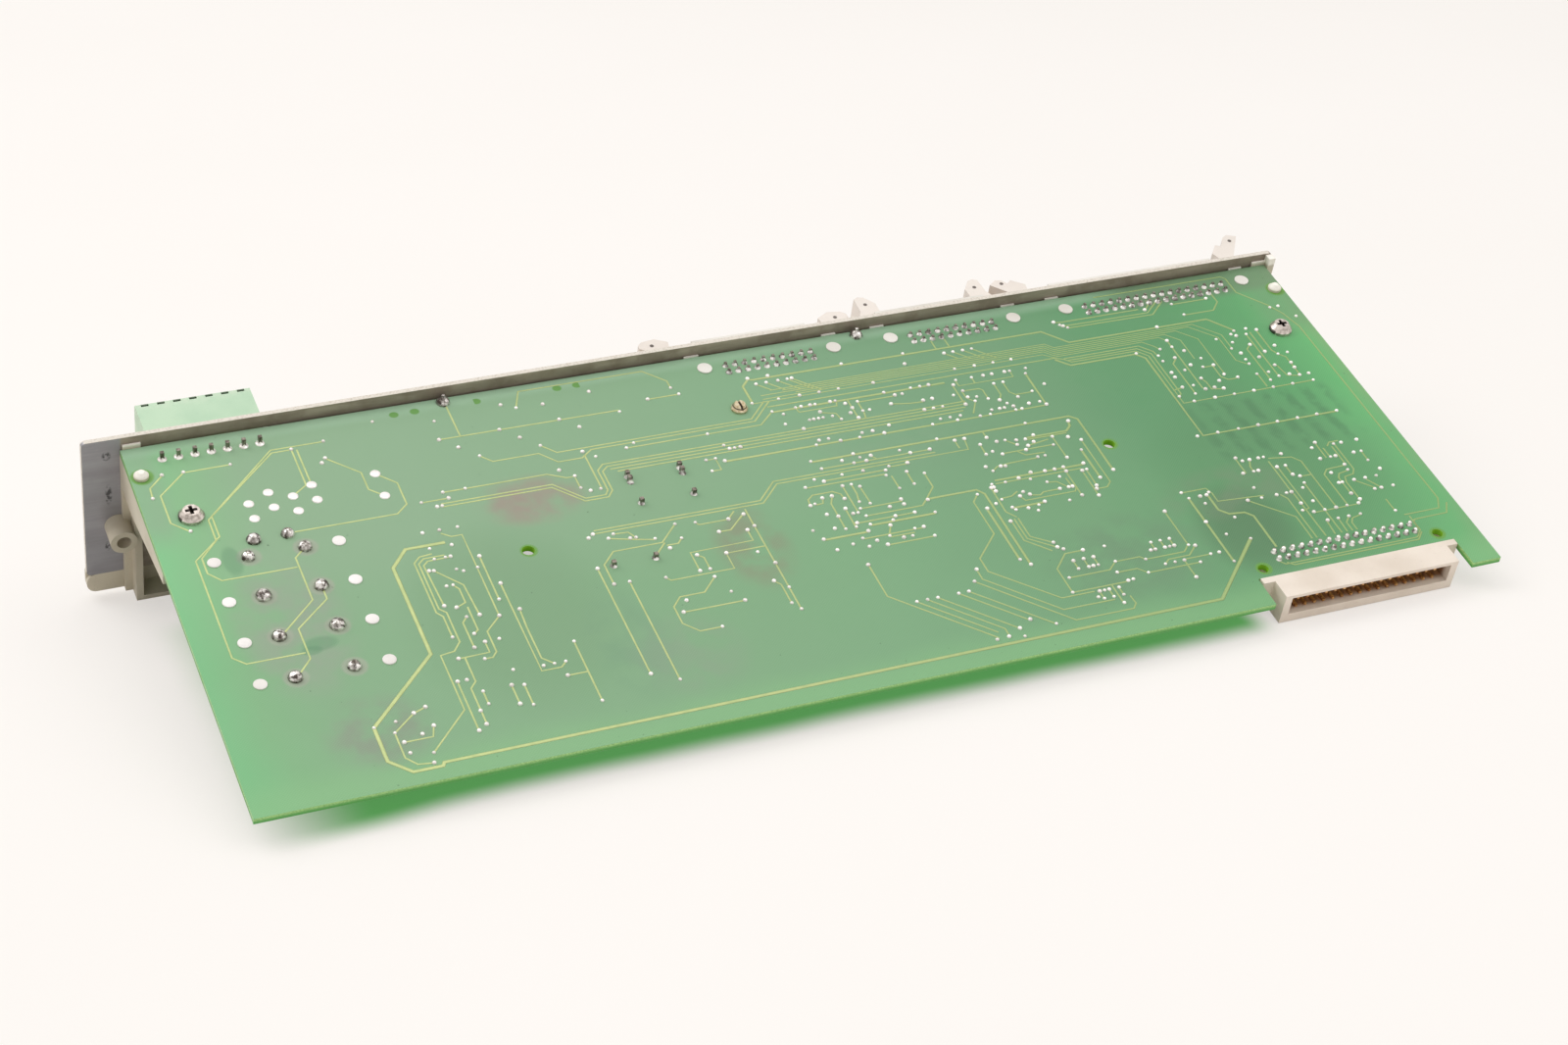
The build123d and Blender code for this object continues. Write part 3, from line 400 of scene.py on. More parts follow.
def board_finish():
    """Green solder mask over glass cloth, with flux haze, stains, painted light that comes through the
    laminate and painted shadows of the bodies on the other side."""
    f = Finish("solder_mask")
    where = f.on_card()
    x, y, z = f.parts(where)
    ground = board_ground(f, where, x, y)
    # Handling and flux stains
    patchy = f.smooth(f.noise(where, 0.12, 4.0), 0.3, 0.62)
    for middle, radius, stretch, colour, amount in (
        ((-66.5, -40.0), 13.0, (1.2, 0.75), tint(152, 132, 124), 0.85),
        ((-22.0, -68.0), 12.0, (0.9, 1.4), tint(130, 136, 110), 0.8),
        ((-60.0, -90.0), 14.0, (0.8, 1.5), tint(110, 148, 116), 0.5),
        ((-121.0, -101.0), 14.0, (1.0, 0.9), tint(132, 140, 124), 0.75),
        ((-130.0, -66.0), 17.0, (0.9, 1.5), tint(146, 152, 138), 0.65),
        ((-49.0, -97.0), 15.0, (1.1, 1.0), tint(132, 150, 128), 0.45),
        ((100.0, -80.0), 16.0, (1.6, 0.7), tint(112, 132, 104), 0.5),
        ((64.0, -94.0), 17.0, (1.6, 1.0), tint(100, 132, 102), 0.55),
        ((16.0, -40.0), 22.0, (1.6, 0.7), tint(124, 156, 124), 0.35),
    ):
        ground = f.mix(f.spot(where, middle, radius, 0.2, stretch) * patchy * amount, ground, colour)
    # Pale flux left round the heavy joints
    dx = f.fold(x - choke_lead_columns[0], 6.45)
    dy = f.fold(y - choke_lead_rows[0], 6.53)
    near = (x > -139.0) * (x < -115.0) * (y < -37.5) * (y > -86.0)
    ring = near * (1.0 - f.smooth(dx * dx + dy * dy, 5.0, 11.0))
    ground = f.mix(ring * 0.75, ground, tint(158, 164, 146))
    # Painted shade of the bodies under the board, dim through the laminate
    inside = f.band(x, (99.0, 106.0), (140.0, 146.0)) * f.band(y, (-72.0, -66.0), (-50.0, -46.0))
    bars = f.smooth(f.fold(x - 100.3 + y * 0.12 + f.noise(where, 0.25, 2.0) * 2.0, 2.86), 0.5, 2.4)
    dim = inside * bars * f.smooth(f.noise(where, 0.22, 2.0), 0.3, 0.6)
    ground = f.mix(dim * 0.4, ground, tint(50, 100, 64))
    for middle, radius, stretch in (
        ((-137.3, -42.5), 3.8, (0.7, 1.5)), ((-125.6, -72.6), 4.3, (1.1, 0.6)),
        ((-128.0, -74.2), 2.4, (1.2, 0.7)),
    ):
        leaf = f.spot(where, middle, radius, 0.55, stretch)
        ground = f.mix(leaf * 0.42, ground, tint(76, 128, 92))
    # Bare laminate round the guide holes and the pegs
    for middle, radius in (*((hole, 2.3) for hole in guide_holes), *((peg, 3.0) for peg in bracket_pegs)):
        ground = f.mix(f.spot(where, middle, radius, 0.75) * 0.9, ground, tint(98, 152, 52))
    # Ovals of bare laminate along the front edge
    off_x = f.fold(x + 88.3, 2.55) / 1.3
    off_y = (y + 3.1) / 1.15
    oval = 1.0 - f.smooth(off_x * off_x + off_y * off_y, 0.55, 1.0)
    for start, end in ((-90.5, -81.0), (-68.5, -64.0), (-51.2, -41.8)):
        ground = f.mix(oval * (x > start) * (x < end) * 0.85, ground, tint(84, 142, 42))
    # Glass cloth and fine dirt
    cloth = f.maths("SINE", x * 9.0) * f.maths("SINE", y * 9.0)
    dirt = f.smooth(f.noise(where, 1.6, 4.0, 0.65), 0.64, 0.8)
    specks = f.smooth(f.noise(where, 0.9, 2.0, 0.4), 0.76, 0.8)
    ground = f.mix(f.smooth(cloth, -0.6, 0.9) * 0.07, ground, tint(190, 214, 180))
    ground = f.mix(dirt * 0.3, ground, tint(80, 106, 78))
    ground = f.mix(specks * 0.6, ground, tint(70, 92, 72))
    # Sawn edge, paler and yellower than the mask, with the cut's fine teeth
    edge = (z < -0.03) * (z > 0.03 - board_thickness / MM)
    teeth = f.smooth(f.noise(where, 2.4, 3.0), 0.4, 0.62)
    # Painted light and shade: the edge is paler at its top and a dark, deep green at its bottom
    sawn = f.mix(f.smooth(z, -1.3, -0.15), tint(74, 158, 68), tint(170, 214, 136))
    sawn = f.mix(teeth * 0.5, sawn, tint(96, 160, 80))
    for middle in guide_holes:
        sawn = f.mix(f.spot(where, middle, 2.2, 0.8), sawn, tint(150, 206, 52))
    ground = f.mix(edge, ground, sawn)
    haze = f.smooth(f.noise(where, 0.09, 4.0), 0.35, 0.7)
    return f.coat(
        Base_Color=ground, Roughness=haze * 0.2 + 0.32, Specular_IOR_Level=0.4,
        Normal=f.bump(f.noise(where, 2.2, 3.0) + cloth * 0.1, 0.12, 0.00006))


def track_finish():
    """Solder mask over copper: the pale yellow-green of the tracks."""
    f = Finish("mask_over_copper")
    where = f.on_card()
    x, _, _ = f.parts(where)
    colour = f.ramp((x - board_left) / board_length, (
        (0.0, tint(206, 218, 146)), (0.4, tint(190, 200, 134)),
        (0.7, tint(158, 180, 114)), (1.0, tint(148, 174, 106))))
    cloud = f.noise(where, 0.3, 3.0)
    colour = f.mix(f.smooth(cloud, 0.35, 0.7) * 0.35, colour, tint(150, 176, 118))
    return f.coat(
        Base_Color=colour, Roughness=f.smooth(cloud, 0.3, 0.7) * 0.15 + 0.28,
        Normal=f.bump(f.noise(where, 3.0, 2.0), 0.1, 0.00004))


def panel_finish():
    """Brushed aluminium with a smudged back and pale sawn edges."""
    f = Finish("panel_aluminium")
    where = f.on_card()
    x, y, z = f.parts(where)
    low, high = reach("front_panel")
    brushed = f.noise(where, 0.5, 4.0, 0.6, (0.12, 1.0, 1.0))
    smudge = f.smooth(f.noise(where, 0.12, 4.0, 0.6), 0.42, 0.66)
    tone = f.mix(f.smooth(brushed, 0.3, 0.7), tint(180, 164, 150), tint(156, 142, 128))
    tone = f.mix(smudge * 0.5, tone, tint(118, 104, 90))
    # Painted shade: the back is darker from just above the board's face downwards
    tone = f.mix((1.0 - f.smooth(z, 0.4, 2.6)) * 0.3, tone, tint(96, 92, 76))
    # The part that reaches past the board is cleaner and bluer
    bare = 1.0 - f.smooth(x, board_left - 0.3, board_left + 0.8)
    bare_tone = f.mix(f.smooth(brushed, 0.3, 0.7), tint(158, 157, 161), tint(146, 144, 148))
    bare_tone = f.mix((1.0 - f.smooth(z, -26.0, -19.0)) * 0.35, bare_tone, tint(122, 120, 124))
    for middle, size in (
        ((-155.6, -1.6), (1.2, 1.5)), ((-155.4, -13.5), (0.9, 3.4)), ((-156.0, -29.5), (0.8, 1.6)),
    ):
        dx = (x - middle[0]) / size[0]
        dz = (z - middle[1]) / size[1]
        blot = 1.0 - f.smooth(dx * dx + dz * dz, 0.2, 1.1)
        torn = f.smooth(f.noise(where, 1.1, 3.0), 0.4, 0.58)
        bare_tone = f.mix(blot * torn * 0.85, bare_tone, tint(52, 50, 54))
    tone = f.mix(bare, tone, bare_tone)
    # Pale face and edges
    front = f.smooth(y, high.y - 0.5, high.y - 0.1)
    top = f.smooth(z, high.z - 0.12, high.z - 0.02)
    end = 1.0 - f.smooth(x, low.x + 0.02, low.x + 0.12)
    pale = f.maths("MAXIMUM", f.maths("MAXIMUM", front, top), end)
    grain = f.noise(where, 1.8, 3.0)
    pale_tone = f.mix(f.smooth(grain, 0.4, 0.8), tint(224, 216, 204), tint(198, 188, 174))
    tone = f.mix(pale, tone, pale_tone)
    return f.coat(
        Base_Color=tone, Metallic=(1.0 - pale) * 0.25, Roughness=smudge * 0.2 + 0.42,
        Normal=f.bump(brushed, 0.08, 0.00005))


def joint_finish():
    """Heavy hand-made joints: bright domes with burnt flux in their hollows."""
    f = Finish("heavy_solder")
    where = f.place()
    lumps = f.noise(where, 650.0, 3.0, 0.6)
    burnt = f.smooth(f.noise(where, 900.0, 3.0), 0.5, 0.62)
    colour = f.mix(f.smooth(lumps, 0.38, 0.62), tint(234, 230, 226), tint(128, 122, 116))
    colour = f.mix(burnt * 0.9, colour, tint(58, 48, 42))
    return f.coat(
        Base_Color=colour, Metallic=0.8, Roughness=burnt * 0.25 + 0.18,
        Normal=f.bump(lumps, 0.6, 0.0004))


def screw_finish(name, light, dark, slots):
    """Plated screws, with painted shade in their recesses. slots: (x, y, radius, height) of each recess
    painted dark.
    """
    f = Finish(name)
    where = f.on_card()
    x, y, z = f.parts(where)
    cloud = f.noise(where, 0.9, 3.0)
    colour = f.mix(f.smooth(cloud, 0.35, 0.7), light, dark)
    for middle_x, middle_y, radius, height in slots:
        dx = x - middle_x
        dy = y - middle_y
        # Painted shade in the recess
        recess_shade = (dx * dx + dy * dy < radius * radius) * (z < height)
        colour = f.mix(recess_shade * 0.9, colour, tint(48, 42, 38))
    return f.coat(
        Base_Color=colour, Metallic=0.85, Roughness=f.smooth(cloud, 0.3, 0.7) * 0.1 + 0.24,
        Normal=f.bump(f.noise(where, 3.0, 2.0), 0.12, 0.00004))


# ---------------------------------------------------------------- shaping

def deselect():
    if bpy.context.object and bpy.context.object.mode != "OBJECT":
        bpy.ops.object.mode_set(mode="OBJECT")
    bpy.ops.object.select_all(action="DESELECT")


def turned(name, profile, sides=12):
    """A closed turned piece, from (radius, height) pairs in millimetres."""
    deselect()
    radius, height = profile[0]
    bpy.ops.mesh.primitive_circle_add(
        vertices=sides, radius=radius * MM, fill_type="NGON", location=(0, 0, height * MM))
    piece = bpy.context.object
    piece.name = name
    bpy.ops.object.transform_apply(location=True, rotation=True, scale=True)
    bpy.ops.object.mode_set(mode="EDIT")
    bpy.ops.mesh.select_all(action="SELECT")
    for next_radius, next_height in profile[1:]:
        bpy.ops.mesh.extrude_region_move(
            TRANSFORM_OT_translate={"value": (0, 0, (next_height - height) * MM)})
        share = next_radius / radius
        bpy.ops.transform.resize(
            value=(share, share, 1), center_override=(0, 0, next_height * MM))
        radius, height = next_radius, next_height
    bpy.ops.mesh.select_all(action="SELECT")
    bpy.ops.mesh.normals_make_consistent(inside=False)
    bpy.ops.object.mode_set(mode="OBJECT")
    bpy.ops.object.shade_smooth_by_angle(angle=math.radians(50))
    return piece


def copies(model, places, turn=None):
    """One object from a model set down at each (x, y) or (x, y, scale)."""
    group = []
    for index, spot in enumerate(places):
        copy = model.copy()
        copy.data = model.data.copy()
        bpy.context.collection.objects.link(copy)
        size = spot[2] if len(spot) > 2 else 1.0
        copy.matrix_world = (
            Matrix.Translation((spot[0] * MM, spot[1] * MM, 0))
            @ Matrix.Rotation(0.7 * index if turn is None else turn, 4, "Z")
            @ Matrix.Scale(size, 4))
        group.append(copy)
    deselect()
    for copy in group:
        copy.select_set(True)
    bpy.context.view_layer.objects.active = group[0]
    bpy.ops.object.join()
    joined = bpy.context.object
    joined.name = model.name
    bpy.ops.object.transform_apply(location=True, rotation=True, scale=True)
    bpy.data.objects.remove(model)
    return joined


def lay(piece, name, material, body="card"):
    """Sets a piece that was made flat down on the leaning card."""
    deselect()
    piece.select_set(True)
    bpy.context.view_layer.objects.active = piece
    bpy.ops.object.transform_apply(location=True, rotation=True, scale=True)
    piece.matrix_world = card
    bpy.ops.object.transform_apply(location=True, rotation=True, scale=True)
    piece.name = name
    piece.data.materials.clear()
    piece.data.materials.append(material)
    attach(piece, body)
    return piece


def joints(name, places, size, profile, material, sides=12):
    """Turns one joint, its radii in shares of a size, and sets it down at every place."""
    model = turned(name, [(radius * size, height) for radius, height in profile], sides)
    lay(copies(model, places), name, material)


def uneven(places, amount, across, along):
    """Places with a scale that wanders a little from one to the next."""
    return [(px, py, 1.0 + amount * math.sin(across * px + along * py)) for px, py in places]


def dress(node, material):
    """Gives a CAD node its finish."""
    mesh = frame["nodes"][node].data
    if not mesh.materials:
        mesh.materials.append(material)
    for index in range(len(mesh.materials)):
        mesh.materials[index] = material


def strips(name, runs, width, rise):
    """Low rounded strips that follow straight runs, in millimetres."""
    deselect()
    bpy.ops.curve.primitive_bezier_curve_add()
    strip = bpy.context.object
    curve = strip.data
    curve.splines.clear()
    curve.dimensions = "3D"
    curve.bevel_depth = width / 2 * MM
    curve.bevel_resolution = 1
    curve.use_fill_caps = True
    for run in runs:
        spline = curve.splines.new("POLY")
        spline.points.add(len(run) - 1)
        for point, (px, py) in zip(spline.points, run):
            point.co = (px * MM, py * MM, 0, 1)
    bpy.ops.object.convert(target="MESH")
    strip = bpy.context.object
    strip.name = name
    strip.scale = (1, 1, rise / (width / 2))
    bpy.ops.object.transform_apply(location=True, rotation=True, scale=True)
    return strip


# ---------------------------------------------------------------- artwork
# All places are in millimetres on the card's solder face.

fine_tracks = (
    # terminal block to the chokes
    ((-106.9, -8.3), (-119.5, -8.3), (-138, -27), (-138, -34), (-145, -40.5), (-145, -72),
     (-142.5, -74.5), (-129.5, -74.5)),
    ((-115, -9.3), (-119.5, -9.3), (-139, -28), (-139, -35), (-143.5, -40), (-143.5, -45), (-141, -48),
     (-124, -48)),
    ((-114.8, -9.2), (-114.8, -22), (-118.8, -25)), ((-113.6, -9.6), (-113.6, -22)),
    ((-129.7, -10.9), (-140.5, -11), (-147.3, -17.5), (-147.3, -27), (-144, -30.5)),
    ((-145.4, -10.8), (-149, -14.5), (-149.2, -18)),
    ((-108.1, -14.2), (-101.5, -21), (-101.5, -27), (-98.5, -30)),
    ((-98.5, -22.2), (-94.5, -26.5), (-94.5, -34), (-97.5, -36.7), (-121.5, -36.7)),
    ((-120.5, -42), (-123.6, -45), (-123.6, -59), (-133.4, -68.5)),
    ((-120.5, -55.3), (-120.5, -59.5), (-129, -67), (-129, -76.5), (-133.4, -81.5)),
    # lower left corner
    ((-118, -102.6), (-112.5, -98.1), (-109.6, -97)),
    ((-118, -102.6), (-118, -110), (-116, -112.5), (-112.6, -113)),
    ((-109.5, -102.7), (-110.5, -105.7), (-116.9, -105.7)),
    # converter side
    ((-94, -51.5), (-97, -51.8), (-98.7, -53.5), (-98.7, -70), (-97.6, -71.5), (-97.6, -78.3)),
    ((-91.4, -52.6), (-96.3, -52.6), (-97.8, -54), (-97.8, -69), (-96.5, -70.5), (-96.5, -80),
     (-98.5, -82.5), (-101.8, -83), (-101.8, -100), (-111.8, -110.2)),
    ((-90.2, -53.5), (-95.6, -53.6), (-96.9, -54.8), (-96.4, -68.4)),
    ((-95.2, -57), (-90.2, -63), (-89.7, -73.1)),
    ((-92.5, -62.5), (-91.5, -64), (-91.5, -68.5), (-93.9, -69.6)),
    ((-92.7, -73), (-94, -74.5), (-94, -82.6)), ((-91.5, -70), (-91.5, -77.5), (-92.7, -78.5)),
    ((-90, -45.5), (-88, -47.1), (-85.5, -47.1), (-85.6, -74.5), (-89.7, -78.5), (-89.7, -85),
     (-91, -86.5), (-92.9, -86.5)),
    ((-91.2, -81.5), (-91.2, -84.8), (-98.4, -85)),
    ((-96.9, -85), (-96.9, -92.5), (-98.5, -94.3), (-98.5, -105.3)), ((-100.7, -91.6), (-100.7, -106.7)),
    ((-83.9, -55), (-84, -69.5)), ((-82.1, -64.7), (-82.1, -93.3), (-77.5, -93.3), (-76.1, -92)),
    ((-80.6, -73.7), (-80.9, -79.5), (-80.9, -89.5), (-78.7, -91.8)), ((-72.3, -86.5), (-72.4, -105.3)),
    ((-77.1, -96.1), (-72.4, -96.1)), ((-59.4, -65.8), (-59.4, -100.5)),
    ((-53.8, -71.7), (-53.8, -103.8)),
    ((-57.5, -71.6), (-57.5, -65), (-54, -61.3), (-42, -61.3), (-37, -56.2)),
    ((-96.3, -95.8), (-96.3, -99.7)), ((-89.8, -95.7), (-89.8, -101.5)),
    ((-87.1, -96.3), (-87.1, -102.5)),
    # behind the first two headers
    ((-80.7, -14.3), (-35.7, -14.5)), ((-75.4, -2.5), (-75.4, -14.3)),
    ((-59.4, -7.7), (-57, -2), (-25.2, -2), (-20.5, -7), (-20.5, -9.7)), ((-27.5, -12.4), (-19.4, -12.4)),
    ((-73.2, -22.2), (-70.8, -24.8), (-59.5, -24.8), (-56, -28.8), (-50, -28.8), (-47, -26.5),
     (-5, -26.5), (1, -20.5)),
    ((-58.2, -22.2), (-55.2, -25.5), (-5.5, -25.5), (0, -20)), ((-38.7, -28.1), (-4, -28.1), (0, -24.5)),
    ((-85.4, -32.3), (-60, -32.3), (-56, -34.6), (-54, -34.6), (-54, -39)),
    ((-91.2, -34.5), (-84.7, -34.5)),
    ((-86.9, -36), (-60, -36), (-54, -42.5), (-49, -42.5), (-48, -41), (-48, -34), (-46.2, -32.2),
     (49, -32.2)),
    ((-86.9, -37), (-60.4, -37), (-54.4, -43.4), (-48.6, -43.4), (-47, -41.4), (-47, -34.6),
     (-45.4, -33.2), (48.5, -33.2)),
    ((-45, -34.3), (48, -34.3)), ((-43.5, -35.4), (47, -35.4)), ((-49.2, -28), (-49.2, -40.3)),
    ((-21.8, -37), (-19.4, -37), (-19.4, -41), (-21.8, -41)),
    # middle
    ((-56, -53.6), (-14.5, -53.6), (-9, -48.1), (33.5, -48.1)),
    ((-56, -54.6), (-14.1, -54.6), (-8.5, -49.1), (42, -49.1), (42.6, -45.3)),
    ((-53.6, -56.9), (-48.5, -58.5), (-43.2, -60)), ((-52, -55.8), (-48.5, -56), (-47.3, -58.2)),
    ((-32.2, -57), (-31.5, -57.8), (-24.3, -57.8), (-22, -55.5)),
    ((-28, -61.3), (-25, -61.3), (-20.3, -57)), ((-37.2, -61.1), (-38.5, -62.5), (-41.3, -62.5)),
    ((-41.5, -61.5), (-45, -65.2)), ((-21.3, -62.4), (-21.3, -66), (-37, -66.2), (-37, -72.5)),
    ((-35.8, -67.4), (-34.5, -68.5), (-34.5, -72.5)),
    ((-45.4, -72.6), (-44.5, -73.7), (-29, -73.7), (-29, -68.5), (-19.2, -68.5)),
    ((-19.2, -55.5), (-19.2, -90.2)), ((-21.8, -80), (-20.6, -81.5), (-20.6, -87.8)),
    ((-34.5, -75.2), (-38.5, -79.3), (-44.5, -79.3), (-47, -82), (-47, -87.5), (-44, -90.8),
     (-38.7, -90.8)),
    ((-45.5, -84.2), (-30.6, -84.2)),
    # bus bundle towards the third header
    ((0.5, -13.5), (3.5, -16.5)), ((3.2, -13.5), (6.9, -17.2)), ((6.3, -13.5), (10.7, -17.9)),
    ((8.8, -13.5), (13.9, -18.6)), ((10, -13.5), (15.8, -19.3)), ((51.6, -13.7), (54.4, -16.5)),
    ((54.1, -13.7), (57.6, -17.2)), ((56.8, -13.7), (61, -17.9)), ((59.3, -13.7), (64.2, -18.6)),
    ((0, -22.3), (78.5, -22.3), (80.7, -23.2), (82.3, -24.8), (100.8, -24.8), (103.2, -27.4),
     (103.2, -46.6), (141, -46.6)),
    ((81.5, -24), (101.5, -24), (104.3, -26.8), (104.3, -43), (103.3, -44)),
    ((81, -23.1), (102.4, -23.1), (105.2, -26), (105.6, -28)), ((4, -46.8), (32.6, -46.8)),
    ((50.4, -8.4), (50.4, -11.5)), ((54.1, -8.4), (54.1, -11.5)),
    ((6.6, -24.4), (6.9, -26), (16.9, -26), (17.4, -24.5)), ((22.5, -26), (32.6, -26)),
    ((20.3, -24.5), (20.3, -31.8)), ((22.5, -26), (22.5, -30), (22, -32.3)),
    ((11.9, -27.4), (15.5, -28.6), (16, -31)), ((30.5, -28.7), (35, -29.6), (38.7, -29.8)),
    ((48.4, -26), (48.4, -33.5)), ((49.9, -24.4), (49.9, -26.4), (65, -26.4), (65.1, -24.5)),
    ((54.4, -24.5), (54.4, -26.4)), ((50.2, -28.5), (54.4, -28.6), (55.1, -29.3), (55.1, -32.6)),
    ((58.9, -27.8), (58.9, -32), (57.7, -34)), ((61.4, -27.9), (61.4, -31.7), (62.6, -33), (67.2, -33)),
    ((49.7, -28.6), (49.8, -31.2), (51.4, -33), (49, -37)), ((-2.4, -52.3), (18.3, -52.4)),
    ((2.8, -51), (18.9, -51)), ((20.3, -50.2), (25.2, -50.2)), ((17.6, -45.4), (18.6, -46.8)),
    ((-3.7, -58.4), (-3.4, -56.3), (-1.8, -55), (3.4, -55), (5, -56.3), (5.2, -58.3)),
    ((0.1, -56.8), (-0.4, -58.3), (-2.4, -58.4)), ((2.6, -56.7), (1.4, -58.9), (1.3, -68)),
    ((6.5, -53.8), (6.5, -63.5)), ((8.8, -53.8), (8.8, -57.2), (8.2, -60)), ((10.5, -55), (10.7, -61)),
    ((19.5, -53.4), (19.6, -58)), ((23.7, -53), (23.7, -57.4)), ((4, -61.4), (3.9, -68.6)),
    ((8, -62.3), (18.3, -62.3)), ((4.7, -66.8), (19.6, -66.8)), ((12.1, -69.6), (10.5, -72.6)),
    ((3.9, -72.2), (19.6, -72.2)), ((10.5, -73.2), (16.8, -73.2)), ((40, -45.3), (40, -48.2)),
    ((48.2, -44), (48.2, -46.3)), ((45.5, -48.3), (45.4, -52)), ((52.3, -48.3), (54.4, -50.5)),
    ((57.4, -49.4), (68.6, -49.5)), ((57, -51.5), (63, -50.6)), ((49.4, -52.7), (63.3, -52.7)),
    ((53.5, -52.9), (55, -54.6), (60, -54.8)), ((64.4, -50), (64.5, -58)),
    ((44.4, -58), (46.2, -56.7), (50, -56.3), (57.5, -56.2)),
    ((71, -52.9), (71, -68.7), (69.4, -70.3), (66.9, -70.3)),
    ((41.3, -63.9), (41.1, -72.2), (42.9, -74.6)), ((43, -62.4), (66, -62.5)),
    ((41.9, -67.6), (45, -67.4), (47, -66.2)), ((46.9, -68), (47.6, -69.7), (61, -69.7), (61.8, -68.6)),
    ((49.5, -68.2), (52, -68.8), (53.2, -68), (57.6, -68)), ((55.6, -65.1), (58, -65.4), (60, -68)),
    ((61.9, -61.3), (61.9, -71.5)), ((60.8, -64.8), (61, -68)), ((66, -63.4), (65.9, -72.6)),
    ((67.2, -63.4), (67.1, -69.2)),
    # middle right
    ((27.7, -54.5), (27.7, -59.5), (24.5, -63), (22.5, -65), (7.8, -65)),
    ((37, -64.8), (35, -67), (35, -78.5), (28, -85.5), (28, -90), (41, -102.7), (49.5, -102.7)),
    ((8.8, -75.6), (20.9, -75.6)), ((1.6, -81), (1.6, -91.5), (21, -110.8)), ((7.5, -95), (21.6, -109.1)),
    ((10.2, -95), (23.6, -108.4), (23.6, -111)), ((12.8, -95), (27, -109.2)),
    ((18.1, -95), (30.3, -107.2)), ((20.7, -95), (35.9, -110.1)),
    ((23.4, -92.3), (41, -110.2), (56, -110.3), (57.3, -108.8), (57.1, -106.2)),
    ((25.6, -88.7), (25.6, -92.1), (39.7, -106.3), (53, -106.4)), ((41, -75), (41, -82.5), (46, -87.5)),
    ((42, -75), (42, -82.1), (47.7, -86.7)), ((43, -75), (43, -81.6), (47.5, -85)),
    ((44.3, -101.7), (44.3, -93.5), (48.5, -89.2), (53.2, -89.2)),
    ((45.7, -97), (56.5, -97), (59, -94.8), (65.5, -94.8), (66.5, -96), (77, -96), (79, -94), (79, -82)),
    ((57.7, -98.3), (63, -98.3), (65, -100.3), (79, -100.3)), ((44.3, -101.7), (59, -101.7)),
    ((75.5, -98.7), (75.5, -104.7)), ((49.3, -92), (49.3, -94.8)), ((52, -92), (52, -94.8)),
    ((54.6, -92), (54.6, -94.8)), ((50.7, -103), (50.7, -105.5)), ((53.2, -103), (53.2, -105.5)),
    ((55.8, -103), (55.8, -105.5)), ((54.5, -101.7), (54.5, -108)), ((70.4, -91), (70.4, -93.6)),
    ((73, -91), (73, -93.6)), ((75.5, -91), (75.5, -93.6)),
    ((70.4, -98.7), (72, -97.4), (77.6, -97.4), (80.5, -94.8)), ((75.5, -98.4), (82.8, -98.4)),
    # third header and the bus side
    ((86.2, -77), (93, -77), (93.7, -79), (93.7, -82), (106, -83)),
    ((101.1, -83.7), (110, -92), (110, -100)), ((84.9, -9), (86.6, -9.4), (109.5, -9.4)),
    ((111.1, -10.2), (113, -8.3), (113.3, -6.5)), ((86.7, -11), (111.4, -11.2), (115.8, -7.4)),
    ((87.6, -12), (112.4, -12.2), (117.3, -7.8)), ((119.3, -9.6), (129.6, -9.6)),
    ((120.5, -14.4), (129.3, -14.4), (132, -11.5), (132, -7)),
    ((100, -2), (138, -2), (139, -3), (139, -9), (144.8, -16), (147, -20), (148.7, -26), (148.7, -95),
     (147, -98.3), (137, -98.3)),
    ((110.9, -23), (110.9, -42.5)), ((109.6, -30.2), (108, -31.8), (108, -43.7)),
    ((117.8, -35), (117.8, -39.5), (119.2, -41), (121.8, -41)),
    ((112.4, -39), (113, -40.6), (113, -43.3), (116.2, -44)),
    ((131.5, -29.9), (130.1, -31.2), (130.1, -43.5)), ((136.4, -25), (136.3, -33), (137.2, -34.9)),
    ((134.6, -39), (135.2, -43.2), (138.5, -44.1)), ((105.8, -41), (103.4, -41.3)),
    ((127.8, -41), (127.8, -46)), ((132.9, -25), (132.9, -43)), ((134.3, -25), (134.2, -33)),
    ((115, -35), (118.1, -35)), ((137.2, -34.9), (138.7, -36.4), (138.7, -43.9)),
    ((114, -71), (120, -72), (121.7, -74), (121.7, -91.6)), ((118.3, -81.5), (118.3, -100)),
    ((118.3, -79.1), (121.6, -79.1)), ((131.8, -78.2), (126.5, -78.4), (124.9, -80), (124.9, -91.6)),
    ((131.7, -80.1), (128.8, -80.6), (127.9, -82), (127.9, -88)),
    ((133.4, -70.4), (133.4, -80), (132.3, -81.6), (129.7, -82), (129, -83.8), (129, -90.4)),
    ((132.3, -71), (132.3, -78)), ((131.2, -70.6), (132.4, -69.4), (135, -69.4)),
    ((128.7, -69), (128.7, -74.5)), ((129.8, -71), (129.8, -74.6)), ((138.8, -74.8), (138.8, -78)),
    ((131.5, -84), (135, -87.5)), ((134.5, -84.3), (136.6, -87.8)), ((105.7, -69), (105.7, -74.6)),
    ((109, -70.5), (108, -72.5), (107.9, -74.5)), ((113.5, -72), (113.5, -83.5)),
    ((114.7, -75), (114.8, -90), (113, -90.5)), ((113.7, -84.2), (113.8, -100)),
    ((116.9, -74.8), (116.9, -78)), ((110.2, -83.8), (111.3, -85.5), (111.3, -100)),
    ((115.2, -91.8), (127.9, -91.8), (129, -90.6)), ((116.7, -95.5), (116.4, -100)),
    ((120, -95.5), (119.8, -100)), ((122.8, -95.5), (121.3, -97), (121.3, -100)),
    ((126.3, -95.4), (123.6, -96), (122.6, -97.4), (122.6, -100)), ((135.5, -92), (135.5, -96.4)),
    ((150, -97), (148, -100.3), (138.6, -100.4), (137.9, -101.4), (137.9, -104.5)),
    ((99.6, -105.8), (101, -107.1), (135.8, -107.1), (138, -104.8)),
    ((97.5, -104.5), (99, -106.3), (136, -106.3), (138, -104), (138, -99)),
)
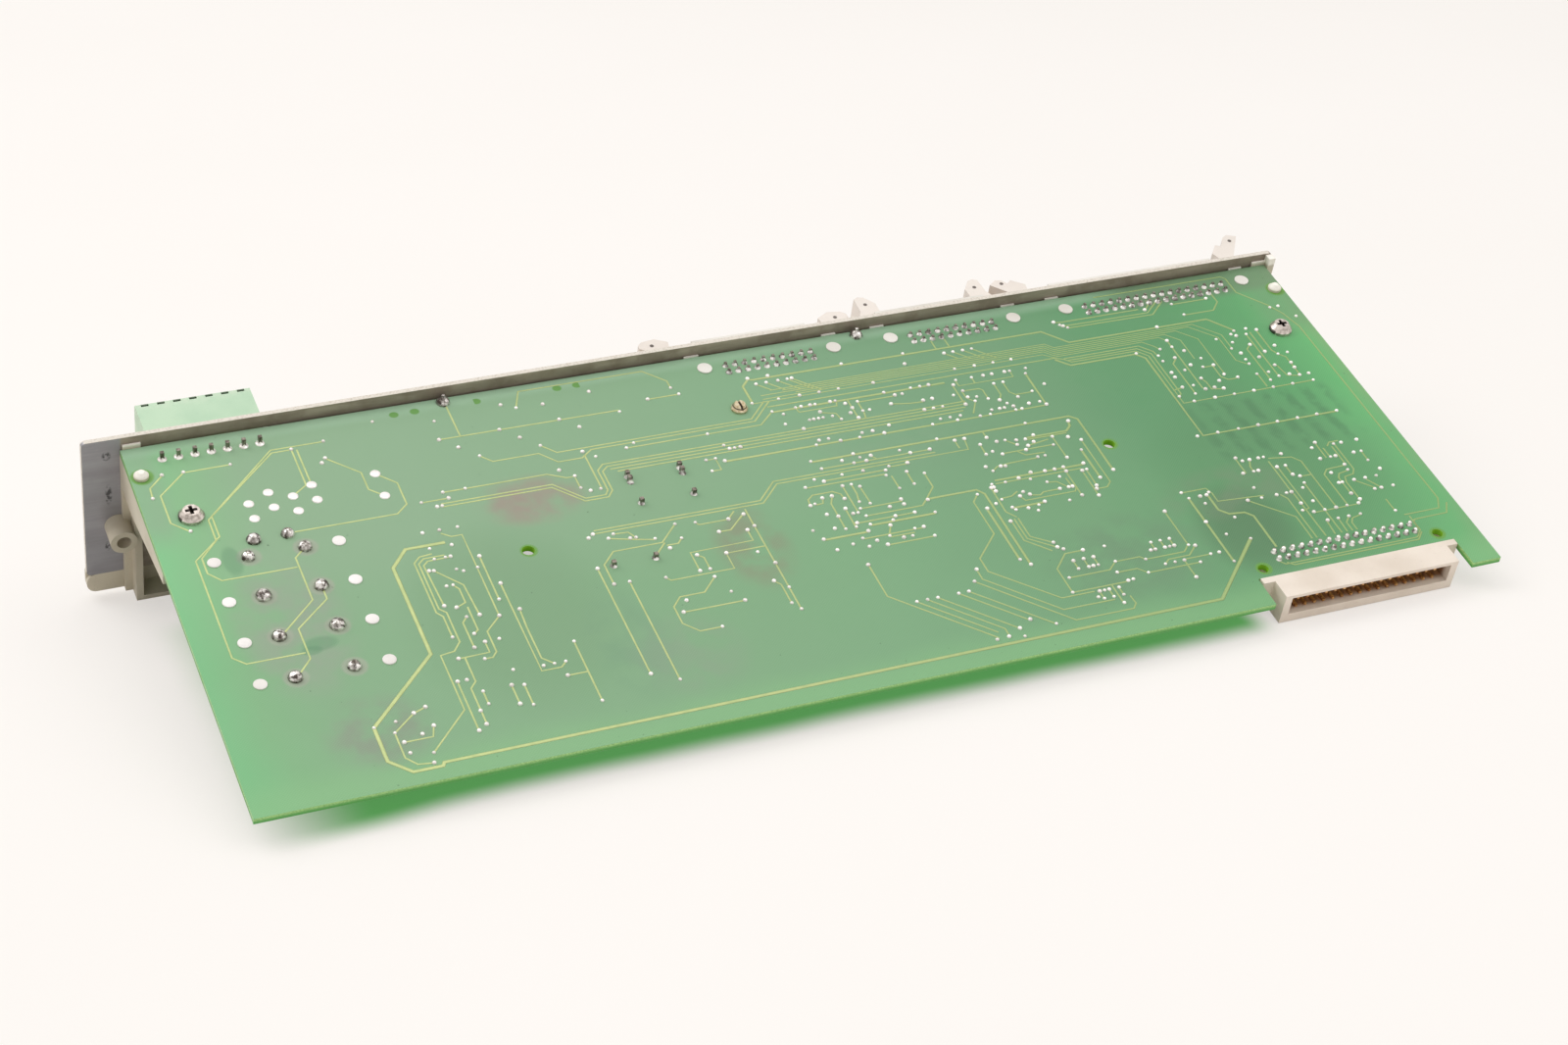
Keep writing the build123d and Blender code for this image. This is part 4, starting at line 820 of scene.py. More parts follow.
wide_tracks = (
    ((-3, -20.3), (-3, -13.5), (-0.8, -11.3), (0.2, -11.7), (80, -11.7), (85.3, -17.4), (125.5, -17.4),
     (130.6, -23.4)),
    ((-17.5, -38.5), (68.5, -38.6), (68.6, -26)), ((2.5, -43.9), (72, -43.9), (73.7, -45.4), (73.7, -65)),
    ((0.4, -24.4), (46.8, -24.4)),
    ((78.5, -22.9), (81.5, -25.9), (100, -25.9), (102, -28), (102, -59.1), (140.7, -59.1)),
    ((24.5, -63.2), (37.5, -63.2), (38.9, -65), (38.9, -90.5)), ((37.1, -70), (37.1, -88.3)),
    ((7.6, -68.3), (24.4, -68.3)), ((87.1, -79.3), (87.1, -102.2)),
    ((92.3, -79.5), (92.3, -84.8), (94.2, -86.8), (98.2, -87.3), (99.8, -89), (99.8, -100.3)),
    ((43.3, -61.3), (67.4, -61.3)), ((43.3, -71.4), (51.9, -71.4)), ((69.3, -56.3), (69.3, -66.8)),
    ((-5.1, -70.2), (6.2, -70.2)), ((58, -48.8), (69, -48.8), (70.6, -47.3), (71, -45.6)),
)
close_tracks = (
    ((3, -16.5), (78.6, -16.5), (80.4, -18.4), (120.6, -18.4), (126.3, -24.2), (126.3, -29.6)),
    ((6, -17.2), (78.2, -17.2), (80, -19.1), (119, -19.1), (124.9, -25), (124.9, -34.5), (127.2, -36.6)),
    ((0, -17.9), (77.8, -17.9), (79.6, -19.8), (115, -19.8), (119.3, -24.2), (119.3, -38.9)),
    ((9, -18.6), (77.4, -18.6), (79.2, -20.5), (111.4, -20.5), (114.5, -23.6), (114.5, -31.3)),
    ((0, -19.3), (77, -19.3), (78.8, -21.2), (109.3, -21.2), (110.9, -23)),
    ((-3, -20.3), (76.2, -20.3), (78.4, -21.9), (104, -21.9), (106.4, -24.2), (107.3, -25.6)),
)
broad_tracks = (
    ((-90, -48.6), (-99.3, -48.6), (-103.7, -53.8), (-103.7, -82), (-121.8, -100), (-121.8, -110),
     (-117.5, -114.3), (-111, -114.3), (-110.5, -113.4), (78, -113), (95, -96.1)),
)

# Solder dots: rows along the board as (y, every x), then single ones
dot_rows = (
    (-13.5, (0.5, 3.2, 6.3, 8.8, 10)), (-13.7, (51.6, 54.1, 56.8, 59.3)),
    (-20.1, (3.8, 9.4, 14.6, 19.8, 29.2, 51.6, 57.1, 62.3, 67.4)),
    (-24.2, (0.4, 6.6, 8.1, 10.5, 11.8, 15.8, 17.2, 30.3, 37.6, 40.1, 42.5, 50, 54.4, 57.6, 60, 63.6, 65,
     69.5)),
    (-25.8, (2.8, 19.2, 22.5, 32.6, 34.6, 48.6)),
    (-29.4, (1.8, 8.2, 9.3, 10.6, 11.8, 14.3, 19.1, 22.4, 24.2)),
    (-32.8, (37.5, 40, 42.5, 51.4, 55, 67.2)),
    (-37, (7.5, 10, 18.9, 21.7, 40, 42.6, 45.4, 54, 56.2, 57.5, 60, 64.3, 67.3)),
    (-38.4, (6.2, 12.6, 17.7, 24.2, 37.2, 44, 50.2, 53, 60, 61.7, 68.5)), (-43.7, (2.5, 13.6, 35.9, 60)),
    (-45.3, (10, 14.7, 17.6, 25.2, 40, 42.6)), (-46.8, (4, 12.5, 15.8, 27.4, 32.6)),
    (-48.3, (45.5, 50, 52.3, 60)), (-50, (0.8, 8, 13.5, 20.3, 25.2, 64.4)),
    (-52.9, (18.3, 23.7, 49.4, 55.8, 63.3, 71)), (-63.5, (1.3, 5.1, 6.4, 14.6, 18.3, 24.5, 41.3, 42)),
    (-66.8, (4.7, 14.6, 19.6, 48.3, 69.2)),
    (-68, (1.3, 4, 7.6, 13.5, 24.4, 42, 46.9, 49.5, 57.6, 60, 61)), (-95, (7.5, 10.2, 12.8, 18.1, 20.7)),
    (-91, (70.5, 73, 75.5)), (-93.5, (69.2, 70.4, 73, 74.3, 75.5)), (-98.7, (70.4, 73, 75.5)),
    (-103, (50.7, 52, 53.2, 55.8)), (-105.5, (50.7, 53.2, 55.8)), (-92, (49.3, 52, 54.6)),
    (-94.8, (49.3, 52, 53.2, 54.5, 59)), (-46.6, (106.2, 112.2, 117.8, 123.5, 129.2, 134.9, 141)),
    (-59, (100.4, 106.2, 112.1, 117.8, 123.4, 129.2, 134.9, 140.7)),
    (-70.3, (107, 109, 111.5, 113, 118, 126.9, 133.2, 135.4, 139.9)),
    (-74.5, (104.9, 107.9, 109.2, 114.5, 116.9, 126.9, 129.9, 131.3, 136.6, 138.8)),
    (-79.9, (104.9, 126.9, 131.7)),
    (-83.7, (101.1, 105, 109.2, 112, 113.4, 126.9, 127.9, 131.3, 134.5, 137.7)),
    (-88, (113.6, 117, 127.9, 134.7, 136.6, 140)), (-91.6, (115.2, 118.3, 121.5, 124.6, 127.9)),
    (-95.2, (117, 120, 123, 126.3)), (-34.5, (-91.2, -84.7, -53.9, -14.8, -13.5, -12)),
    (-44.4, (-94, -90, -85.7)), (-53.4, (-94, -91.4, -90.2)), (-91.9, (-81.2, -78.7, -76.1)),
)
dots = (
    (-145.4, -10.7), (-140.5, -10.9), (-129.6, -10.9), (-149.2, -18), (-143.7, -30.7), (-114.8, -9.2),
    (-106.9, -8.2), (-108.1, -14.1), (-109.3, -15.6), (-93.9, -4.3), (-79.8, -7.7), (-80.7, -14.4),
    (-65.8, -14.4), (-50.8, -14.3), (-35.7, -15.1), (-77.1, -18.1), (-62, -18.3), (-47, -18.1),
    (-62.7, -5.8), (-59.4, -7.7), (-52.8, -8), (-40.4, -6.2), (-20.5, -9.7), (-27.5, -12.4),
    (-19.4, -12.4), (-0.8, -11), (-3.2, -20.1), (-73.2, -22.2), (-58.2, -22.2), (-49.3, -26.8),
    (-36.4, -26.8), (-38.7, -28.1), (-18, -28.1), (-46.8, -29.2), (-56.8, -31.7), (-85.4, -32.3),
    (-80, -32.3), (-88.1, -36.7), (-86.9, -36.7), (-53.9, -38.8), (-52, -40.3), (-49.5, -40.3),
    (-15.7, -33), (-21.8, -37), (-19.4, -37), (-21.8, -41), (-17.5, -38.3), (-94, -49.8), (-88.8, -49.8),
    (-96.3, -56.8), (-95.2, -57), (-90.2, -57.8), (-88.8, -58.7), (-85.4, -58.4), (-94, -62.5),
    (-92.5, -62.5), (-83.9, -55), (-82.1, -64.7), (-96.4, -68.4), (-93.9, -69.6), (-84, -69.5),
    (-92.7, -73), (-89.7, -73.1), (-85.6, -74.5), (-80.6, -73.7), (-92.7, -78.5), (-97.6, -78.3),
    (-94, -82.6), (-91.2, -81.5), (-87.9, -81.4), (-98.4, -85), (-92.9, -86.5), (-88, -91.3),
    (-100.7, -91.6), (-98.6, -91.6), (-96.3, -95.8), (-96.3, -99.7), (-89.8, -95.7), (-89.8, -101.5),
    (-87.1, -96.3), (-87.1, -102.5), (-98.6, -101.2), (-98.6, -105.3), (-100.7, -106.7), (-72.3, -86.5),
    (-72.4, -105.3), (-77.1, -96.1), (-59.4, -65.8), (-59.4, -100.5), (-53.8, -71.7), (-53.8, -103.8),
    (-57.5, -71.6), (-58, -55.7), (-56.6, -54.7), (-53.6, -56.9), (-52, -55.8), (-48.7, -58.1),
    (-47.3, -58.2), (-43.2, -59.7), (-37, -56.2), (-32.2, -56.9), (-24.3, -57.8), (-20.2, -57.1),
    (-28, -61.3), (-37.2, -61.1), (-41, -63.6), (-21.3, -62.4), (-37, -72.5), (-35.8, -67.4),
    (-34.5, -72.5), (-45.4, -72.6), (-29, -68.5), (-19.2, -61.5), (-19.2, -74.5), (-19.2, -82.8),
    (-19.2, -90.2), (-21.8, -70), (-21.8, -80), (-20.6, -87.8), (-34.5, -75.2), (-38.7, -90.8),
    (-43.5, -80.8), (-32.6, -80.7), (-45.5, -84.2), (-30.6, -84.2), (-116.9, -99.5), (-118, -102.6),
    (-112.5, -98.1), (-109.6, -97), (-109.5, -102.7), (-116.9, -105.7), (-112.5, -104.4), (-116.6, -109),
    (-111.8, -110.2), (-112.6, -113), (-121.8, -100), (4.5, -11.2), (24.3, -11.3), (41.2, -11.3),
    (40, -15.2), (68.6, -26.1), (58.9, -27.8), (61.5, -27.8), (11.9, -27.2), (20.3, -27.7), (30.3, -28.7),
    (50, -28.5), (38.7, -29.4), (41.2, -29.3), (47, -29.4), (16, -31), (20.3, -31.6), (50.2, -31),
    (52.5, -31.4), (71.5, -31), (5.5, -32.1), (48.5, -33.4), (57.6, -34), (62.7, -34), (58.9, -35.6),
    (26.5, -36), (71, -45.6), (73.7, -65), (48.2, -46.3), (57.4, -49.2), (54.5, -50.6), (59, -50.6),
    (68.2, -51.1), (2.8, -51.2), (18.9, -51.2), (45.4, -52), (47.4, -51.4), (57, -51.6), (6.5, -53.8),
    (8.8, -53.8), (10.5, -55), (27.7, -54.5), (23.7, -57.4), (19.6, -58), (43.3, -56.2), (47, -56.9),
    (48.2, -57.1), (44.4, -58), (57.5, -56), (59.5, -56), (64.5, -58), (69.3, -56.3), (8.2, -60),
    (4, -61.4), (10.5, -61.2), (53.2, -60.8), (56.9, -61.2), (59.5, -61.2), (62, -61), (67.5, -61),
    (18.3, -61.7), (45.6, -62.5), (49.4, -62), (52.1, -63), (66, -63.4), (59.5, -64), (7.8, -65),
    (37, -64.8), (41.9, -64.9), (55.6, -65), (40, -69), (67, -69.2), (6.2, -70), (12.1, -69.5),
    (37.2, -70), (66.5, -70.3), (43.3, -71.2), (51.9, -71.3), (61.9, -71.5), (43.8, -72.2), (47, -72.4),
    (50, -72), (65.9, -72.6), (58.1, -72.4), (3.9, -72), (10.5, -72.8), (17.3, -72), (19.6, -72),
    (6.9, -73.6), (13.5, -74.2), (15.8, -74.2), (49, -73.8), (4.3, -75), (8.8, -75.5), (20.9, -75.5),
    (40.7, -75.6), (1.5, -80.7), (23.4, -92.3), (25.6, -88.7), (20.3, -111.2), (23.4, -111), (27, -109.2),
    (27, -111.9), (30.6, -107.2), (35.9, -110.1), (37.1, -88.3), (38.9, -90.5), (47.5, -85),
    (47.7, -86.7), (48.8, -87.7), (53.2, -89.2), (58.9, -89.3), (79, -94.2), (80.5, -94.8), (66.5, -96),
    (82.8, -98.4), (85.1, -98.4), (79, -100.3), (65, -100.3), (57.7, -98.3), (45.7, -97), (44.3, -101.7),
    (59, -101.5), (60.4, -101.4), (49.5, -104.7), (54.6, -108), (75.5, -104.7), (79, -82), (87.1, -79.3),
    (87.1, -88), (87.1, -102.2), (86.2, -77), (90.2, -79.3), (92, -79.3), (93, -78.5), (90.2, -82),
    (94.9, -88.3), (89.9, -93.2), (95, -96.1), (84.9, -9), (86, -10.4), (86.7, -11), (87.6, -11.9),
    (111.1, -10), (119.3, -9.5), (129.6, -9.5), (120.5, -14.3), (110.9, -17.3), (144.8, -17),
    (147.3, -17), (150, -22), (100.4, -25.8), (107.4, -25.7), (110.8, -23), (105.7, -28), (113.3, -27.8),
    (105.8, -30.3), (109.5, -29.8), (116.2, -31.6), (105.8, -35), (109.7, -34.9), (115, -34.9),
    (118.1, -34.9), (105.8, -36.9), (112.3, -38.9), (119, -38.9), (105.8, -40.9), (109, -40.9),
    (116.5, -40.9), (122, -40.8), (111.4, -43), (114, -43), (103.3, -44), (107.9, -44), (116.2, -43.9),
    (124, -25.6), (128.8, -24.7), (130.3, -23.6), (129.9, -25.6), (132.9, -25.6), (133.9, -23.5),
    (136.5, -24.6), (127.6, -27.8), (126.1, -30), (131.7, -29.7), (138, -31.6), (127.6, -32.3),
    (127.6, -34.9), (131.6, -34.9), (137.2, -34.9), (140, -34.9), (127.6, -36.7), (134, -38.8),
    (138.8, -38.9), (127.6, -40.9), (131, -40.9), (138.7, -40.9), (132.9, -43), (136, -43),
    (129.9, -43.9), (138.5, -43.9), (141.2, -43.9), (105.8, -68.9), (128.7, -68.7), (117, -78),
    (118.5, -79), (131.9, -78), (138.7, -78), (118.3, -81.5), (117, -83), (140, -81.6), (112.7, -90.4),
    (129, -90.4), (135.6, -96.4), (-6.5, -66.6), (-5.2, -70), (-2.4, -52.1), (-3.7, -58.4), (-2.4, -58.1),
    (0.1, -56.6), (2.6, -56.5), (5.2, -58.1), (-1.1, -62.2), (-1.2, -67.2), (7.5, -62.3), (0.9, -73.3),
    (-3.5, -74.2), (42, -62.4), (67.3, -63.2), (62, -62.6), (55, -49), (112.2, -33.4), (110.9, -25.6),
    (134.2, -33.2),
)
choke_lead_rows = (-42.1, -55.2, -68.3, -81.3)
choke_lead_columns = (-133.4, -120.5)
choke_peg_columns = (-141.3, -112.8)
choke_end = -110.0
relay_joints = (
    (-123.8, -22.4), (-113.6, -22.3), (-129, -25.1), (-118.7, -25), (-123.8, -27.6),
    (-113.7, -27.5), (-129, -30.2), (-118.8, -30.1), (-98.5, -22.2), (-98.5, -30),
)
panel_joints = ((-75.7, -1.6), (32.5, -1.7))
guide_holes = ((-72.5, -56.1), (77.3, -56.1), (93.0, -106.3), (141.6, -106.4))
bracket_pegs = ((-149.8, -10.2), (150.4, -10.2))
# Pit in each lever's head: inwards from the pivot, and along the lever
lever_eyes = {"short": (2.3, 9.15), "latch_c_left": (3.0, 11.9), "latch_c_right": (2.4, 13.9)}


def tips(node, above=0.25, apart=1.2):
    """Where each lead of a CAD node stands out of the solder side, in
    millimetres on the card: (x, y, top)."""
    to_card = card.inverted()
    found = []
    for vertex in frame["nodes"][node].data.vertices:
        px, py, pz = (to_card @ vertex.co) / MM
        if pz < above:
            continue
        for group in found:
            if abs(group[0] - px) < apart and abs(group[1] - py) < apart:
                group[3].append((px, py))
                group[2] = max(group[2], pz)
                break
        else:
            found.append([px, py, pz, [(px, py)]])
    spots = []
    for _, _, top, group in found:
        xs = [p[0] for p in group]
        ys = [p[1] for p in group]
        spots.append(((min(xs) + max(xs)) / 2, (min(ys) + max(ys)) / 2, top))
    return spots


# ---------------------------------------------------------------- settings

def length(name, default, description):
    return bpy.props.FloatProperty(
        name=name, default=default * MM, min=0.0, unit="LENGTH", description=description)


def colour(name, default, description):
    return bpy.props.FloatVectorProperty(
        name=name, default=default, size=3, min=0.0, max=1.0, subtype="COLOR",
        description=description)


class ArtworkSettings(bpy.types.PropertyGroup):
    track_width: length("Track width", 0.46, "Width of the fine tracks")
    wide_width: length("Wide tracks", 0.7, "Width of the stronger signal tracks")
    close_width: length("Close tracks", 0.36, "Width of the tracks that run side by side")
    broad_width: length("Broad track", 1.0, "Width of the supply track")
    track_rise: length("Track rise", 0.05, "How far a track lifts the solder mask")


class SolderSettings(bpy.types.PropertyGroup):
    dot_size: length("Solder dot", 0.51, "Radius of a small solder dot")
    cone_size: length("Cone", 0.88, "Radius of the solder round a connector's pin")
    heavy_size: length("Heavy dome", 1.75, "Radius of the solder round a heavy lead")
    peg_size: length("Peg", 1.55, "Radius of the pegs that show beside the chokes")
    flat_size: length("Flat joint", 1.25, "Radius of the relay's flat joints")


class MouldingSettings(bpy.types.PropertyGroup):
    connector: colour("Connector", tint(232, 228, 220), "Box headers")
    latch: colour("Latches", tint(234, 225, 216), "Levers at the ends of the headers")
    ivory: colour("Ivory", tint(206, 198, 178), "Rail and brackets")
    terminal: colour("Terminal", tint(190, 216, 186), "Plug-in terminal block")
    bus: colour("Bus connector", tint(238, 226, 212), "Rear connector")


class StageSettings(bpy.types.PropertyGroup):
    table: colour("Table", tint(246, 241, 235), "The table top")
    glow: colour("Green light", tint(64, 172, 62), "Light that reaches the table through the board")
    lift: bpy.props.FloatProperty(
        name="Backdrop", default=0.6, min=0.0, max=1.0,
        description="How far the table is seen as plain backdrop")
    lamp: bpy.props.FloatProperty(
        name="Lamps", default=1.0, min=0.0, description="Strength of the lamps")


class Piece:
    """What the operators share."""
    bl_options = {"REGISTER", "UNDO"}


class BOARD_OT_stage(Piece, bpy.types.Operator):
    """Lay the table, hang the lamps and set the camera up"""
    bl_idname = "board.stage"
    bl_label = "Stage"

    def lay_table(self, settings):
        deselect()
        bpy.ops.mesh.primitive_plane_add(size=6.0, location=(0, 0, -table_gap))
        table = bpy.context.object
        table.name = "table"
        bpy.ops.object.transform_apply(location=True, rotation=True, scale=True)
        f = Finish("table_top")
        where = f.place()
        x, y, _ = f.parts(where)
        cloud = f.noise(where, 3.0, 4.0)
        tone = f.mix(f.smooth(cloud, 0.3, 0.7), tuple(settings.table), tint(250, 245, 240))
        # Light that comes through the laminate lands green under the board
        rear = cad_bounds[0][1]
        left = board_low.x
        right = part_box("bus_connector")[0].x
        wave = f.noise(where, 22.0, 2.0) * 0.006
        spread = (1.0 - f.smooth(x, left + 0.01, left + 0.06)) * 0.004
        beyond = f.smooth(y, rear + 0.022, rear + 0.032) * 0.035
        under = (
            f.smooth(x + wave, left + 0.002, left + 0.03)
            * (1.0 - f.smooth(x - beyond, right - 0.004, right + 0.004))
            * f.smooth(y + wave * 0.4 + spread, rear + 0.0002, rear + 0.0092)
            * (1.0 - f.smooth(y, rear + 0.098, rear + 0.11)))
        glow = tuple(settings.glow)
        surface = f.coat(
            Base_Color=f.mix(under * 0.9, tone, glow), Roughness=0.6, Specular_IOR_Level=0.2,
            Normal=f.bump(f.noise(where, 900.0, 2.0), 0.05, 0.0001))
        plain = f.node("ShaderNodeEmission", {}, {
            "Color": f.mix(under * 0.9, tint(252, 248, 244), glow), "Strength": 1.0})
        blend = f.node("ShaderNodeMixShader", {}, {
            0: f.seen() * settings.lift, 1: Value(f, f.shader.outputs[0]), 2: plain})
        f.feed(f.output.inputs[0], blend)
        table.data.materials.append(surface)

    def hang_lamps(self, scene, strength):
        for name, place, size, power in (
            ("window", (-0.7, 0.5, 1.1), 0.9, 7.5),
            ("fill", (0.9, -0.6, 0.9), 1.0, 3.4),
            ("overhead", (0.1, -0.1, 1.4), 1.3, 6.0),
        ):
            bpy.ops.object.light_add(type="AREA", location=place)
            lamp = bpy.context.object
            lamp.name = name
            lamp.data.size = size
            lamp.data.energy = power * strength
            lamp.rotation_euler = (-Vector(place)).to_track_quat("-Z", "Y").to_euler()
        scene.world = bpy.data.worlds.new("studio")
        scene.world.use_nodes = True
        sky = Nodes(scene.world.node_tree)
        room = sky.node("ShaderNodeBackground", {}, {0: tint(244, 243, 242), 1: 0.55})
        backdrop = sky.node("ShaderNodeBackground", {}, {0: tint(255, 251, 248), 1: 1.0})
        either = sky.node("ShaderNodeMixShader", {}, {0: sky.seen(), 1: room, 2: backdrop})
        sky.feed(sky.tree.nodes.new("ShaderNodeOutputWorld").inputs[0], either)

    def set_camera(self, scene):
        bpy.ops.object.camera_add()
        camera = bpy.context.object
        camera.name = "camera"
        turn = Vector(camera_turn)
        right, down, forward = Matrix.Rotation(turn.length, 3, turn.normalized())
        pose = Matrix((right, -down, -forward)).transposed().to_4x4()
        pose.translation = Vector(camera_place) * MM
        camera.matrix_world = card @ pose
        camera.data.lens = camera_lens
        camera.data.sensor_width = 36.0
        camera.data.clip_start = 0.02
        scene.camera = camera
        scene.view_settings.view_transform = "Standard"

    def execute(self, context):
        settings = context.scene.board_stage
        self.lay_table(settings)
        self.hang_lamps(context.scene, settings.lamp)
        self.set_camera(context.scene)
        return {"FINISHED"}


class BOARD_OT_mouldings(Piece, bpy.types.Operator):
    """Give the mouldings, the metal parts and the bodies below their finishes"""
    bl_idname = "board.mouldings"
    bl_label = "Mouldings and metal"

    def execute(self, context):
        settings = context.scene.board_mouldings
        connector = moulded("connector_plastic", tuple(settings.connector), tint(214, 208, 198), 0.42, 0.3)
        latch = moulded("latch_plastic", tuple(settings.latch), tint(222, 212, 202), 0.36, 0.2)
        ivory = moulded("ivory_plastic", tuple(settings.ivory), tint(188, 178, 158), 0.45, 0.4)
        green = terminal_finish(tuple(settings.terminal))
        bus = bus_finish(tuple(settings.bus))
        bracket = bracket_finish(tuple(settings.ivory))
        black = moulded("package_plastic", tint(52, 52, 54), tint(70, 70, 70), 0.5, 0.3)
        choke = moulded("choke_plastic", tint(60, 62, 66), tint(80, 80, 82), 0.45, 0.3)
        relay = moulded("relay_case", tint(210, 205, 190), tint(186, 180, 162), 0.4, 0.3)
        film = moulded("film_case", tint(196, 120, 60), tint(166, 96, 46), 0.4, 0.3)
        can = metal_finish("can_sleeve", tint(60, 72, 110), tint(40, 50, 84), 0.35, 0.1)
        steel = metal_finish("steel", tint(214, 214, 210), tint(150, 150, 146), 0.22, 0.95)
        tinned = metal_finish("tinned_pin", tint(150, 142, 132), tint(84, 76, 68), 0.25, 0.8)
        gold = metal_finish("gold_contact", tint(232, 186, 120), tint(168, 116, 66), 0.28, 0.75)
        finishes = {
            "header_housing_": connector, "latch_": latch, "bottom_rail": ivory,
            "left_bracket": bracket, "right_bracket": bracket, "terminal_header": green,
            "terminal_plug": green, "bus_connector": bus, "package_": black, "regulator": black,
            "network_": black, "dc_converter": black,
            "choke_": choke, "filter_coil": choke, "control_relay": relay, "film_capacitor": film,
            "input_capacitor_": film, "capacitor_": can, "screw_nut": steel, "clamp_screws": steel,
            "header_pins_": tinned, "terminal_pins": tinned, "heavy_leads": tinned, "bus_contacts": gold,
            "front_panel": panel_finish(),
        }
        for node, finish, light, dark, radius in (
            ("bracket_screws", "pan_screws", tint(222, 212, 204), tint(158, 148, 140), 1.5),
            ("slotted_screw", "brass_screw", tint(226, 214, 186), tint(186, 168, 132), 1.75),
        ):
            recesses = [(px, py, radius, top - 0.45) for px, py, top in tips(node, 0.1, 5.0)]
            finishes[node] = screw_finish(finish, light, dark, recesses)
        for node in frame["nodes"]:
            for start, material in finishes.items():
                if node.startswith(start):
                    dress(node, material)
        return {"FINISHED"}


class BOARD_OT_laminate(Piece, bpy.types.Operator):
    """Finish the board itself: solder mask, stains and sawn edge"""
    bl_idname = "board.laminate"
    bl_label = "Board"

    def execute(self, context):
        dress("circuit_board", board_finish())
        return {"FINISHED"}


class BOARD_OT_tracks(Piece, bpy.types.Operator):
    """Lay the tracks that show through the solder mask"""
    bl_idname = "board.tracks"
    bl_label = "Tracks"

    def execute(self, context):
        settings = context.scene.board_artwork
        material = track_finish()
        for name, runs, width in (
            ("fine_tracks", fine_tracks, settings.track_width),
            ("wide_tracks", wide_tracks, settings.wide_width),
            ("close_tracks", close_tracks, settings.close_width),
            ("broad_tracks", broad_tracks, settings.broad_width),
        ):
            strip = strips(name, runs, width / MM, settings.track_rise / MM)
            lay(strip, name, material)
        return {"FINISHED"}


class BOARD_OT_solder(Piece, bpy.types.Operator):
    """Set the solder: small dots, fillets round the pins and heavy joints"""
    bl_idname = "board.solder"
    bl_label = "Solder"

    def execute(self, context):
        settings = context.scene.board_solder
        solder = solder_finish("solder", tint(250, 244, 240), tint(214, 208, 202))
        fillet = solder_finish("pin_solder", tint(240, 238, 234), tint(112, 108, 102), 0.85, 0.16)
        heavy = joint_finish()
        spots = [(px, py) for py, row in dot_rows for px in row] + list(dots)
        joints("solder_dots", uneven(spots, 0.14, 7.1, 3.3), settings.dot_size / MM, (
            (1, -0.02), (0.96, 0.12), (0.76, 0.3), (0.44, 0.42), (0.16, 0.46)), solder, 10)
        for node in ("header_pins_a", "header_pins_b", "header_pins_c"):
            places = uneven([spot[:2] for spot in tips(node)], 0.05, 5.0, 1.0)
            joints("solder_" + node, places, settings.cone_size / MM, (
                (1, -0.02), (0.95, 0.14), (0.74, 0.34), (0.55, 0.56), (0.42, 0.8)), fillet)
        # The bus contacts are drowned in solder, the terminals stand out of pale rings
        contacts = tips("bus_contacts")
        top = max(height for _, _, height in contacts) + 0.08
        joints("solder_bus_contacts", [spot[:2] for spot in contacts], 1.0, (
            (0.86, -0.02), (0.84, 0.1 * top), (0.7, 0.3 * top), (0.56, 0.6 * top), (0.48, 0.86 * top),
            (0.24, top)), fillet)
        joints("solder_terminal_pins", [spot[:2] for spot in tips("terminal_pins")], 1.0, (
            (1.12, -0.02), (1.08, 0.12), (0.86, 0.24), (0.6, 0.42), (0.5, 0.7), (0.44, 0.9)), solder, 14)
        joints("panel_joints", panel_joints, 1.0, (
            (1.7, -0.02), (1.65, 0.4), (1.35, 1.0), (0.95, 1.4), (0.5, 1.7), (0.42, 2.3), (0.15, 2.4)),
            heavy, 16)
        # Heavy domes on the chokes' leads, small fillets on the other square ones
        leads = [spot[:2] for spot in tips("heavy_leads")]
        domed = [spot for spot in leads if spot[0] < choke_end]
        joints("solder_heavy_leads", uneven(domed, 0.08, 3.0, 5.0), settings.heavy_size / MM, (
            (1, -0.02), (1, 0.2), (0.93, 0.6), (0.78, 1.05), (0.55, 1.4), (0.28, 1.6), (0.1, 1.66)),
            heavy, 20)
        joints("solder_square_leads", [spot for spot in leads if spot[0] >= choke_end], 1.0, (
            (0.95, -0.02), (0.9, 0.12), (0.68, 0.36), (0.5, 0.7), (0.42, 0.95)), fillet)
        return {"FINISHED"}


class BOARD_OT_pegs(Piece, bpy.types.Operator):
    """Show the pegs of the chokes and the relay's flat joints"""
    bl_idname = "board.pegs"
    bl_label = "Pegs and flat joints"

    def execute(self, context):
        settings = context.scene.board_solder
        white = moulded("peg_plastic", tint(250, 245, 242), tint(232, 226, 220), 0.4, 0.2)
        tin = solder_finish("flat_solder", tint(252, 246, 243), tint(236, 230, 226), 0.25, 0.3)
        places = [(px, py) for px in choke_peg_columns for py in choke_lead_rows]
        joints("choke_pegs", places, settings.peg_size / MM, (
            (1, -0.02), (1, 0.22), (0.88, 0.34), (0.2, 0.37)), white, 20)
        joints("relay_joints", relay_joints, settings.flat_size / MM, (
            (1, -0.02), (0.96, 0.14), (0.8, 0.26), (0.5, 0.33), (0.15, 0.36)), tin, 18)
        return {"FINISHED"}


